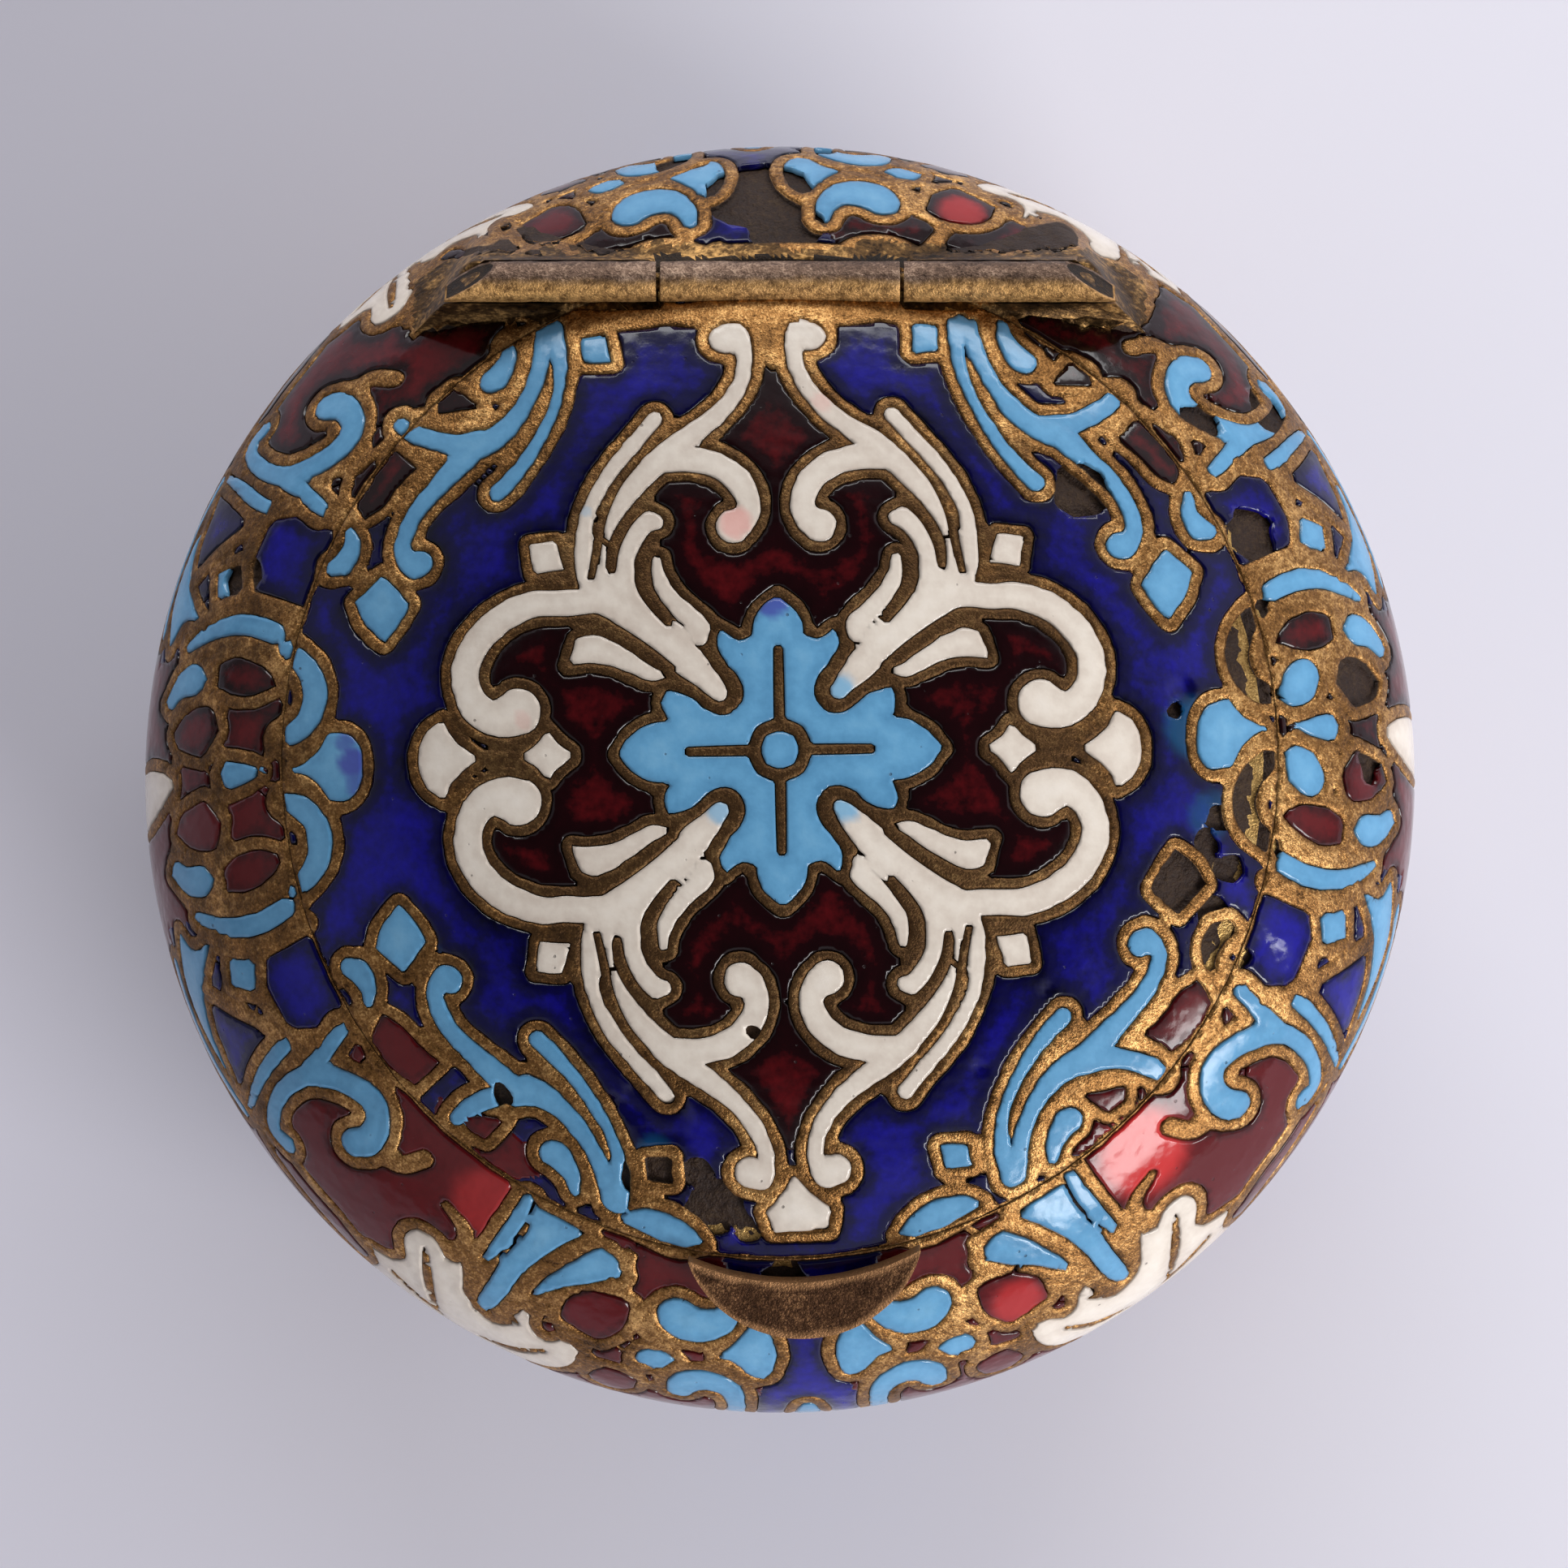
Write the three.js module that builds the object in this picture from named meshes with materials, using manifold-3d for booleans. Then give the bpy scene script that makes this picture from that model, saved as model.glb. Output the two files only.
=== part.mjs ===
// A round champlevé snuff box: a flattened, bun-shaped shell of gilt copper alloy with a domed lid.
// The lid turns on a straight three-tube hinge let into the shoulder at the rear,
// and a crescent-shaped thumbpiece is soldered to its front edge.
// Millimetres, +Z up. The origin is the centre of the flat underside; the hinge is at +Y.

import * as THREE from "three";
import { mergeVertices } from "three/addons/utils/BufferGeometryUtils.js";
import Module from "manifold-3d";

const wasm = await Module();
wasm.setup();

// Shell: both halves follow one flattened ellipsoid.
const shellRadius = 25; // at the equator
const shellHalfHeight = 13; // from the equator to the top of the lid
const wallThickness = 1.4;
const baseRadius = 13; // flat underside
const floorThickness = 1.5;
const shoulderWidth = 5.7; // from the equator in to the rim, where lid and body part
const seamGap = 0.12; // between the two rims

// Closing lip inside the rim, left out near the hinge.
const lipThickness = 0.7;
const lipHeight = 0.5;
const lipInset = 0.35; // how far the lip stands in from the inner wall at the rim
const lipClearance = 0.3; // to the lid, all round
const lipRearLimit = 12; // the lip stops at this distance behind the middle

// Hinge: three tubes on one pin. The middle tube belongs to the lid.
const tubeRadius = 0.8;
const pinRadius = 0.38;
const pinClearance = 0.05;
const hingeInset = 0.75; // of the hinge axis inside the rear of the rim
const hingeRise = 0.1; // of the axis above the shell's surface
const middleTubeLength = 9.3;
const outerTubeLength = 7.4; // to the middle of the bevelled end
const tubeGap = 0.15; // between neighbouring tubes
const solderGap = 0.05; // between a tube and the metal that it is soldered to
const swingClearance = 0.3; // between a tube and the metal that turns past it
const tubeEndSlope = [1, 1.2, 0.9]; // outward direction of the bevelled tube end

// Solder mass under each outer tube, where the shell falls away below it.
const seatTopHalfWidth = 0.85;
const seatFootHalfWidth = 1.9;
const seatDepth = 4.2; // from the hinge axis down into the wall
const seatEndSlope = [1, 0.9, 0.35];
const seatInset = 0.4; // of its inner end from the end of the middle tube
const seatLidClearance = 0.3;

// Thumbpiece: a crescent cut from plate, with a thinner tongue soldered to the lid's border.
const thumbHalfWidth = 4.5;
const thumbHornSetback = 0.4; // of the horn tips behind the front of the rim
const thumbHollow = 1.15; // of the rear edge, in front of the horn tips
const thumbBulge = 3.5; // of the front edge, in front of the horn tips
const thumbThickness = 0.65;
const thumbPitch = 25; // degrees that it falls towards its front edge
const thumbTurn = 2.8; // degrees that it sits round from the middle of the front
const thumbLift = 0.15; // of its underside over the rim
const tongueHalfWidth = 2.8;
const tongueOverlap = 0.6; // onto the lid
const tongueThickness = 0.3;
const thumbSeatGap = 0.05; // between the tongue and the lid

// Fineness of the round surfaces.
const roundSegments = 72;
const tubeSegments = 24;
const shoulderSteps = 18; // of the body's outline, from the base to the rim
const domeSteps = 12; // of the lid's outline
const cavitySteps = 16;

const equatorHeight = shellHalfHeight * Math.sqrt(1 - (baseRadius / shellRadius) ** 2);
const surfaceRise = (radius) =>
  shellHalfHeight * Math.sqrt(1 - (radius / shellRadius) ** 2);
const rimRadius = shellRadius - shoulderWidth;
const rimRise = surfaceRise(rimRadius);
const rimHeight = equatorHeight + rimRise;
const hingeSetback = rimRadius - hingeInset;
const hingeHeight = equatorHeight + surfaceRise(hingeSetback) + hingeRise;
const innerRadius = shellRadius - wallThickness;
const innerHalfHeight = shellHalfHeight - wallThickness;
const middleTubeEnd = middleTubeLength / 2;
const hingeHalfLength = middleTubeEnd + tubeGap + outerTubeLength;
const seatInnerEnd = middleTubeEnd + seatInset;

const gilt = { color: 0x8a6136, roughness: 0.42, metalness: 0.9 };
const materials = {
  body: new THREE.MeshStandardMaterial({ color: 0x1f2a86, roughness: 0.3, metalness: 0.2 }),
  lid: new THREE.MeshStandardMaterial({ color: 0x2c3c9c, roughness: 0.25, metalness: 0.2 }),
  gilt: new THREE.MeshStandardMaterial(gilt),
  pin: new THREE.MeshStandardMaterial({ ...gilt, color: 0x5a4638 }),
};

// A closed three.js geometry as a solid that can be joined and cut.
function solidFrom(geometry) {
  const plain = new THREE.BufferGeometry();
  plain.setAttribute("position", geometry.getAttribute("position").clone());
  if (geometry.index) plain.setIndex(geometry.index.clone());
  const merged = mergeVertices(plain, 1e-4);
  const corners = merged.index.array;
  const kept = [];
  for (let i = 0; i < corners.length; i += 3) {
    const [a, b, c] = [corners[i], corners[i + 1], corners[i + 2]];
    if (a !== b && b !== c && c !== a) kept.push(a, b, c);
  }
  return new wasm.Manifold(
    new wasm.Mesh({
      numProp: 3,
      vertProperties: merged.getAttribute("position").array,
      triVerts: new Uint32Array(kept),
    }),
  );
}

function meshFrom(solid, name, material) {
  const made = solid.getMesh();
  const geometry = new THREE.BufferGeometry();
  geometry.setAttribute("position", new THREE.BufferAttribute(made.vertProperties, 3));
  geometry.setIndex(new THREE.BufferAttribute(made.triVerts, 1));
  geometry.computeVertexNormals();
  const mesh = new THREE.Mesh(geometry, material);
  mesh.name = name;
  return mesh;
}

// A solid turned about the Z axis from a profile of [radius, height] pairs.
function turned(profile, segments = roundSegments) {
  const points = profile.map(([radius, height]) => new THREE.Vector2(radius, height));
  const geometry = new THREE.LatheGeometry(points, segments);
  geometry.rotateX(Math.PI / 2);
  return solidFrom(geometry);
}

// Points of an ellipse with half-axes a and b about the equator, between two rises.
function ellipseArc(a, b, fromRise, toRise, steps) {
  const start = Math.asin(fromRise / b);
  const end = Math.asin(Math.min(1, toRise / b));
  return Array.from({ length: steps + 1 }, (_, i) => {
    const angle = start + ((end - start) * i) / steps;
    return [Math.max(0, a * Math.cos(angle)), equatorHeight + b * Math.sin(angle)];
  });
}

// A straight bar along X with a round section, its middle on the hinge axis.
function barOnHinge(radius, from, to) {
  const geometry = new THREE.CylinderGeometry(radius, radius, to - from, tubeSegments);
  geometry.rotateZ(Math.PI / 2);
  geometry.translate((from + to) / 2, hingeSetback, hingeHeight);
  return solidFrom(geometry);
}

function block(low, high) {
  const size = low.map((value, i) => high[i] - value);
  const geometry = new THREE.BoxGeometry(...size);
  geometry.translate(...low.map((value, i) => (value + high[i]) / 2));
  return solidFrom(geometry);
}

// Everything on the far side of a sloping plane through a point, as one large block.
function beyondPlane(point, slope, side) {
  const reach = 60;
  const geometry = new THREE.BoxGeometry(reach, reach, reach);
  geometry.translate(reach / 2, 0, 0);
  const outward = new THREE.Vector3(slope[0] * side, slope[1], slope[2]).normalize();
  const turn = new THREE.Quaternion().setFromUnitVectors(new THREE.Vector3(1, 0, 0), outward);
  geometry.applyQuaternion(turn);
  geometry.translate(...point);
  return solidFrom(geometry);
}

// What lies beyond the bevelled end of the hinge, on one side of the box.
function beyondHingeEnd(slope, side) {
  return beyondPlane([side * hingeHalfLength, hingeSetback, hingeHeight], slope, side);
}

// The solder mass that carries one outer tube; side is 1 or -1.
function hingeSeat(side) {
  const section = new THREE.Shape([
    new THREE.Vector2(hingeSetback - seatTopHalfWidth, hingeHeight),
    new THREE.Vector2(hingeSetback - seatFootHalfWidth, hingeHeight - seatDepth),
    new THREE.Vector2(hingeSetback + seatFootHalfWidth, hingeHeight - seatDepth),
    new THREE.Vector2(hingeSetback + seatTopHalfWidth, hingeHeight),
  ]);
  const length = shellRadius - seatInnerEnd;
  const geometry = new THREE.ExtrudeGeometry(section, { depth: length, bevelEnabled: false });
  // The section's axes (x, y) become (Y, Z), and its depth becomes X.
  geometry.applyMatrix4(new THREE.Matrix4().set(0, 0, 1, 0, 1, 0, 0, 0, 0, 1, 0, 0, 0, 0, 0, 1));
  geometry.translate(side > 0 ? seatInnerEnd : -shellRadius, 0, 0);
  const lidSpace = turned([
    [0, rimHeight],
    [rimRadius + seatLidClearance, rimHeight],
    [rimRadius + seatLidClearance, hingeHeight + tubeRadius],
    [0, hingeHeight + tubeRadius],
  ]);
  return solidFrom(geometry)
    .subtract(lidSpace)
    .subtract(beyondHingeEnd(seatEndSlope, side));
}

function lipRing(clearance) {
  const inner = innerWallAtRim() - lipInset;
  const outer = inner + lipThickness + clearance;
  const top = rimHeight + lipHeight + clearance;
  const foot = rimHeight - wallThickness / 2;
  const profile = [
    [inner - clearance, foot],
    [outer, foot],
    [outer, top],
    [inner - clearance, top],
    [inner - clearance, foot],
  ];
  const front = block(
    [-shellRadius, -shellRadius, foot - 1],
    [shellRadius, lipRearLimit + clearance, top + 1],
  );
  return turned(profile).intersect(front);
}

function innerWallAtRim() {
  return innerRadius * Math.sqrt(1 - (rimRise / innerHalfHeight) ** 2);
}

// The hollow inside the whole shell, flat at the floor.
function cavity() {
  const floorRise = floorThickness - equatorHeight;
  const wall = ellipseArc(innerRadius, innerHalfHeight, floorRise, innerHalfHeight, cavitySteps);
  return turned([[0, floorThickness], ...wall]);
}

function makeBody() {
  const outside = turned([
    [0, 0],
    ...ellipseArc(shellRadius, shellHalfHeight, -equatorHeight, rimRise, shoulderSteps),
    [0, rimHeight],
  ]);
  let body = outside.add(hingeSeat(1)).add(hingeSeat(-1)).subtract(cavity()).add(lipRing(0));
  for (const side of [1, -1]) {
    const near = side * (middleTubeEnd + tubeGap / 2);
    const far = side * shellRadius;
    const channel = barOnHinge(tubeRadius + solderGap, Math.min(near, far), Math.max(near, far));
    body = body.subtract(channel);
  }
  const swing = barOnHinge(
    tubeRadius + swingClearance,
    -middleTubeEnd - tubeGap / 2,
    middleTubeEnd + tubeGap / 2,
  );
  return body.subtract(swing);
}

function makeLid() {
  const lidFoot = rimHeight + seamGap;
  const outside = turned([
    [0, lidFoot],
    ...ellipseArc(shellRadius, shellHalfHeight, rimRise + seamGap, shellHalfHeight, domeSteps),
  ]);
  const middle = barOnHinge(tubeRadius + solderGap, -middleTubeEnd, middleTubeEnd);
  const outerTubes = barOnHinge(tubeRadius + swingClearance, -shellRadius, shellRadius);
  const between = block(
    [-middleTubeEnd, 0, 0],
    [middleTubeEnd, shellRadius, 2 * shellRadius],
  );
  const behindAxis = block(
    [-shellRadius, hingeSetback, lidFoot - 1],
    [shellRadius, shellRadius, 2 * shellRadius],
  );
  return outside
    .subtract(cavity())
    .subtract(lipRing(lipClearance))
    .subtract(outerTubes.subtract(between))
    .subtract(middle)
    .subtract(behindAxis);
}

function makeTube(from, to) {
  return barOnHinge(tubeRadius, from, to).subtract(
    barOnHinge(pinRadius + pinClearance, from - 1, to + 1),
  );
}

function makeOuterTube(side) {
  const near = side * (middleTubeEnd + tubeGap);
  const far = side * shellRadius;
  return makeTube(Math.min(near, far), Math.max(near, far)).subtract(
    beyondHingeEnd(tubeEndSlope, side),
  );
}

function makePin() {
  return barOnHinge(pinRadius, -shellRadius, shellRadius)
    .subtract(beyondHingeEnd(tubeEndSlope, 1))
    .subtract(beyondHingeEnd(tubeEndSlope, -1));
}

// Points from one end of an arc through the other, its chord across X; sagitta points to -Y.
function arcAcross(halfWidth, chordY, sagitta, steps = 16) {
  const radius = (halfWidth ** 2 + sagitta ** 2) / (2 * sagitta);
  const half = Math.atan2(halfWidth, radius - sagitta);
  return Array.from({ length: steps + 1 }, (_, i) => {
    const angle = half * ((2 * i) / steps - 1);
    return [radius * Math.sin(angle), chordY + radius - sagitta - radius * Math.cos(angle)];
  });
}

// A plate lying on the underside of the thumbpiece, from its outline about the front of the rim.
function thumbPlate(outline, thickness) {
  const shape = new THREE.Shape(outline.map(([x, y]) => new THREE.Vector2(x, y)));
  const geometry = new THREE.ExtrudeGeometry(shape, { depth: thickness, bevelEnabled: false });
  geometry.rotateX(THREE.MathUtils.degToRad(thumbPitch));
  geometry.translate(0, -rimRadius, rimHeight + thumbLift);
  geometry.rotateZ(THREE.MathUtils.degToRad(thumbTurn));
  return solidFrom(geometry);
}

function makeThumbpiece() {
  const front = arcAcross(thumbHalfWidth, thumbHornSetback, thumbBulge);
  const rear = arcAcross(thumbHalfWidth, thumbHornSetback, thumbHollow).slice(1, -1).reverse();
  const tongueFront = thumbHornSetback - (thumbHollow + thumbBulge) / 2;
  const tongue = [
    [-tongueHalfWidth, tongueOverlap],
    [-tongueHalfWidth, tongueFront],
    [tongueHalfWidth, tongueFront],
    [tongueHalfWidth, tongueOverlap],
  ];
  const seat = shellHalfHeight + thumbSeatGap;
  const dome = turned([
    [0, equatorHeight],
    ...ellipseArc(shellRadius + thumbSeatGap, seat, 0, seat, shoulderSteps),
  ]);
  return thumbPlate([...front, ...rear], thumbThickness)
    .add(thumbPlate(tongue, tongueThickness))
    .subtract(dome);
}

const snuffBox = new THREE.Group();
snuffBox.add(
  meshFrom(makeBody(), "box_body", materials.body),
  meshFrom(makeLid(), "lid", materials.lid),
  meshFrom(makeTube(-middleTubeEnd, middleTubeEnd), "hinge_tube_middle", materials.gilt),
  meshFrom(makeOuterTube(-1), "hinge_tube_left", materials.gilt),
  meshFrom(makeOuterTube(1), "hinge_tube_right", materials.gilt),
  meshFrom(makePin(), "hinge_pin", materials.pin),
  meshFrom(makeThumbpiece(), "thumbpiece", materials.gilt),
);

export default snuffBox;
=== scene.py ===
# Round champlevé snuff box: gilt relief with enamel in its cells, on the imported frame.
import math
import bmesh
import bpy
import numpy as np
from mathutils import Matrix, Vector


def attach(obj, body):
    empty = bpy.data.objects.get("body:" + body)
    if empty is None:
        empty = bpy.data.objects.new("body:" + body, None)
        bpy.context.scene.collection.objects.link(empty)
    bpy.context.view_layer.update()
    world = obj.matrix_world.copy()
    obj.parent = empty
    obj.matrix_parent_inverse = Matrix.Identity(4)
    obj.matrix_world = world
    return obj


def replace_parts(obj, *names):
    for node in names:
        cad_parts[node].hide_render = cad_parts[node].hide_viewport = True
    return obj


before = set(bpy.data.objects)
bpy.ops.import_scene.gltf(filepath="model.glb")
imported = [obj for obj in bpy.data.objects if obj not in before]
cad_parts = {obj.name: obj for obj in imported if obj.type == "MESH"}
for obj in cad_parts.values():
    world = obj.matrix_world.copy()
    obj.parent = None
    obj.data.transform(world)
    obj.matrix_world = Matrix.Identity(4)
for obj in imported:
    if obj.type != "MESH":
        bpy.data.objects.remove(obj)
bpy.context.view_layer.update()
mm = 0.001

shell = {  # millimetres, as in the part's source
    "radius": 25.0, "halfHeight": 13.0, "equatorHeight": 11.104, "rimRadius": 19.3, "seamGap": 0.12,
    "baseRadius": 13.0, "skinDepth": 0.5, "coreInset": 0.42,
}
rimRise = shell["halfHeight"] * math.sqrt(1 - (shell["rimRadius"] / shell["radius"]) ** 2)
hinge = {"setback": 18.55, "height": 19.919, "middleHalf": 4.65, "near": 0.85, "swing": 1.1, "hold": 0.78,
         "bankDrop": 0.3, "bankSlope": 2.0}

# the camera: a long lens almost straight above the lid
view = {"distance": 450.0, "elevation": 85.3, "lens": 262.4, "shiftX": 0.0026, "shiftY": -0.0041}


def makeCamera():
    data = bpy.data.cameras.new("camera")
    camera = bpy.data.objects.new("camera", data)
    bpy.context.scene.collection.objects.link(camera)
    angle = math.radians(view["elevation"])
    data.lens = view["lens"]
    data.sensor_width = 36
    data.shift_x = view["shiftX"]
    data.shift_y = view["shiftY"]
    data.clip_end = 10
    camera.location = (0, -view["distance"] * math.cos(angle) * mm,
                       (shell["equatorHeight"] + view["distance"] * math.sin(angle)) * mm)
    camera.rotation_euler = (math.pi / 2 - angle, 0, 0)
    bpy.context.scene.camera = camera


makeCamera()
print("camera placed")


# shader nodes as plain expressions
class Socket:
    def __init__(self, tree, link):
        self.tree, self.link = tree, link

    def calc(self, operation, other, swapped=False):
        node = self.tree.nodes.new("ShaderNodeMath")
        node.operation = operation
        pair = (other, self) if swapped else (self, other)
        for slot, value in zip(node.inputs, pair):
            if isinstance(value, Socket):
                self.tree.links.new(value.link, slot)
            elif value is not None:
                slot.default_value = value
        return Socket(self.tree, node.outputs[0])

    def __add__(self, other):
        return self.calc("ADD", other)

    def __radd__(self, other):
        return self.calc("ADD", other, True)

    def __sub__(self, other):
        return self.calc("SUBTRACT", other)

    def __rsub__(self, other):
        return self.calc("SUBTRACT", other, True)

    def __mul__(self, other):
        return self.calc("MULTIPLY", other)

    def __rmul__(self, other):
        return self.calc("MULTIPLY", other, True)


class Finish:  # one material and its nodes
    def __init__(self, name):
        self.material = bpy.data.materials.new(name)
        self.material.use_nodes = True
        self.tree = self.material.node_tree
        self.shader = self.tree.nodes["Principled BSDF"]

    def node(self, kind, settings=None, sockets=None, out=0):
        made = self.tree.nodes.new(kind)
        for key, value in (settings or {}).items():
            if key == "stops":
                ramp = made.color_ramp
                while len(ramp.elements) < len(value):
                    ramp.elements.new(0.5)
                for element, (place, colour) in zip(ramp.elements, value):
                    element.position = place
                    element.color = (*colour, 1)
            else:
                setattr(made, key, value)
        for key, value in (sockets or {}).items():
            slot = made.inputs[key]
            if isinstance(value, Socket):
                self.tree.links.new(value.link, slot)
            else:
                slot.default_value = value
        return Socket(self.tree, made.outputs[out])

    def place(self):
        return self.node("ShaderNodeTexCoord", out="Object")

    def noise(self, scale, detail=3.0, rough=0.55, distort=0.0):  # scale in grains per metre
        return self.node("ShaderNodeTexNoise", None,
                         {"Vector": self.place(), "Scale": scale, "Detail": detail,
                                                       "Roughness": rough, "Distortion": distort}, out=0)

    def pits(self, scale):
        return self.node("ShaderNodeTexVoronoi", None, {"Vector": self.place(), "Scale": scale}, out=0)

    def along(self, axis):  # one coordinate, in metres
        return self.node("ShaderNodeSeparateXYZ", None, {0: self.place()}, out=axis)

    def fromAxis(self):  # metres from the middle of the box
        flat = self.node("ShaderNodeVectorMath", {"operation": "MULTIPLY"}, {0: self.place(), 1: (1, 1, 0)})
        return self.node("ShaderNodeVectorMath", {"operation": "LENGTH"}, {0: flat}, out=1)

    def steps(self, value, low, high):  # 0 to 1 as the value goes from low to high
        return self.node("ShaderNodeMapRange", {"interpolation_type": "SMOOTHSTEP"},
                         {"Value": value, "From Min": low, "From Max": high})

    def ramp(self, value, stops):
        return self.node("ShaderNodeValToRGB", {"stops": stops}, {"Fac": value})

    def mix(self, share, first, second, blend="MIX"):
        sockets = {0: share}
        for index, value in ((6, first), (7, second)):
            sockets[index] = value if isinstance(value, Socket) else (*value, 1)
        return self.node("ShaderNodeMix", {"data_type": "RGBA", "blend_type": blend}, sockets, out=2)

    def attribute(self, name):
        return self.node("ShaderNodeAttribute", {"attribute_name": name}, None, out="Fac")

    def set(self, **values):
        for key, value in values.items():
            slot = self.shader.inputs[key.replace("_", " ")]
            if isinstance(value, Socket):
                self.tree.links.new(value.link, slot)
            else:
                slot.default_value = value

    def bump(self, height, distance, strength=1.0):
        self.set(Normal=self.node("ShaderNodeBump", None, {"Height": height, "Distance": distance,
                                                           "Strength": strength}))


def makeGilt(name, dark, middle, light, rough, dirtAndShade=1.0, grainSize=1.0, shadeWeight=0.0, metal=0.95,
             worn=False, goldFront=False):
    f = Finish(name)
    depth = f.attribute("depth")
    broad = f.noise(380, 4, 0.6)
    fine = f.noise(3600 * grainSize, 3, 0.7)
    grain = f.noise(11000 * grainSize, 2, 0.6)
    tone = f.ramp(broad * 0.35 + fine * 0.4 + grain * 0.3, [(0.38, dark), (0.53, middle), (0.7, light)])
    hollow = f.steps(depth, 0.03, 0.2)
    tone = f.mix(hollow * (0.93 * dirtAndShade), tone, (0.015, 0.009, 0.009))
    # painted shade: the gilt is darkened towards the middle of the lid and more on the left side, on top of
    # the random grime
    shaded = f.steps(f.fromAxis(), 0.021, 0.006) + f.steps(f.along(0), -0.012, -0.022) * 0.5
    grimeAndShade = f.steps(f.noise(800, 4, 0.65) * 0.8 + shaded * shadeWeight, 0.5, 0.9)
    tone = f.mix(grimeAndShade * (0.8 * dirtAndShade), tone, (0.05, 0.028, 0.015))
    if goldFront:
        across = f.along(1) + (f.noise(700, 3) - 0.5) * 0.0006
        front = f.steps(across, (hinge["setback"] + 0.15) * mm, (hinge["setback"] - 0.3) * mm)
        gold = f.ramp(fine, [(0.3, (0.16, 0.075, 0.02)), (0.6, (0.75, 0.42, 0.14))])
        tone = f.mix(front * 0.75, tone, gold)
    if worn:
        # partly wear and partly painted highlight: the thumbpiece's edges are painted in the light tone
        rubbedAndHighlit = f.steps(f.attribute("edge") + f.noise(900, 3) * 0.5, 0.62, 0.3)
        tone = f.mix(rubbedAndHighlit, tone, light)
    f.set(Base_Color=tone, Metallic=metal - hollow * (metal * 0.9),
          Roughness=rough + grimeAndShade * 0.12 + fine * 0.2 + hollow * 0.25, Specular_IOR_Level=0.25)
    f.bump(fine * 0.5 + grain * 0.5 + broad * 0.25 + hollow * (f.noise(1800, 3, 0.6) * 2), 0.00008, 1.0)
    return f.material


def makeEnamel(name, deep, middle, bright, stain, speck=0.5, rough=0.1, lift=0.0,
               wash=(0.13, 0.41, 0.66)):
    f = Finish(name)
    edge = f.attribute("edge")
    cloud = f.noise(300, 3, 0.55)
    grains = f.noise(2600, 2, 0.6)
    ripple = f.noise(750, 2, 0.5)
    centre = f.steps(edge, 0.0, 0.9)
    forward = f.along(1)
    # painted light: the band round the sides is lightened by lift, most of all at its front, where the
    # softboxes light it
    side = f.steps(f.fromAxis(), 0.011, 0.021) * (0.3 + f.steps(forward, 0.010, -0.010) * 0.7)
    share = centre * 0.25 + cloud * 0.5 + grains * 0.3 + side * lift
    tone = f.ramp(share, [(0.32, deep), (0.56, middle), (0.82, bright)])
    tone = f.mix(f.attribute("stain"), tone, stain)
    # a tint that is the enamel's own colour on the white, and painted light on the red
    tone = f.mix(f.attribute("wash"), tone, wash)
    rim = 1 - f.steps(edge, 0.03, 0.13)
    tone = f.mix(rim * 0.4, tone, tuple(0.3 * c for c in deep))
    specks = f.steps(f.pits(1500), 0.12, 0.05) * f.steps(f.noise(1000, 1), 0.55, 0.62)
    tone = f.mix(specks * speck, tone, (0.03, 0.02, 0.02))
    f.set(Base_Color=tone, Roughness=rough + cloud * 0.12 + specks * 0.4, Coat_Weight=0.3,
          Coat_Roughness=0.09, Specular_IOR_Level=0.16)
    f.bump(cloud * 0.9 + ripple * (side * 1.4 + 0.3) + grains * 0.12 - specks * 0.5, 0.00008, 0.9)
    return f.material


finishes = {
    # the relief's gilt carries painted shade towards the lid's middle and on the left side
    "gilt": makeGilt("gilt relief", (0.06, 0.027, 0.009), (0.28, 0.135, 0.043), (0.86, 0.51, 0.195), 0.3,
                     shadeWeight=0.62),
    "inner": makeGilt("gilt inside", (0.20, 0.11, 0.035), (0.42, 0.26, 0.09), (0.62, 0.42, 0.17), 0.3, 0.3),
    "tube": makeGilt("worn hinge tube", (0.04, 0.024, 0.017), (0.16, 0.10, 0.07), (0.50, 0.35, 0.25), 0.42,
                     metal=0.7, goldFront=True),
    # the thumbpiece's edges are painted light, as wear and as painted highlight
    "thumb": makeGilt("coppery thumbpiece", (0.022, 0.010, 0.005), (0.07, 0.032, 0.015),
                      (0.30, 0.155, 0.07), 0.38, metal=0.85, worn=True),
    "solder": makeGilt("old solder", (0.012, 0.008, 0.006), (0.10, 0.055, 0.022), (0.62, 0.36, 0.13), 0.4,
                       1.0, 0.45),
    # near-black finish: painted shadow in the channel behind the middle tube; the ends of the tubes take it
    # too
    "dirtAndShade": makeGilt("blackened metal and painted shade", (0.008, 0.006, 0.005), (0.02, 0.013, 0.009), (0.07, 0.042, 0.022), 0.55,
                     metal=0.3),
    "white": makeEnamel("cream enamel", (0.62, 0.53, 0.45), (0.76, 0.68, 0.59), (0.84, 0.77, 0.69),
                        (0.75, 0.22, 0.20), 0.55, 0.16),
    "turquoise": makeEnamel("turquoise enamel", (0.09, 0.265, 0.46), (0.13, 0.35, 0.575),
                            (0.19, 0.43, 0.645), (0.06, 0.06, 0.36), 0.5, 0.12),
    # the navy and red grounds are lightened on the band, most at its front, as painted light
    "navy": makeEnamel("deep blue enamel", (0.0008, 0.0005, 0.009), (0.0016, 0.001, 0.048),
                       (0.006, 0.0035, 0.24), (0.004, 0.06, 0.15), 0.3, 0.1, 0.14),
    # the red's bright tint is painted light on the band
    "red": makeEnamel("dark red enamel", (0.005, 0.0005, 0.001), (0.010, 0.0007, 0.0016),
                      (0.10, 0.004, 0.006), (0.10, 0.03, 0.06), 0.3, 0.1, 0.34, (0.62, 0.035, 0.035)),
}
print("finishes ready")

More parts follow.
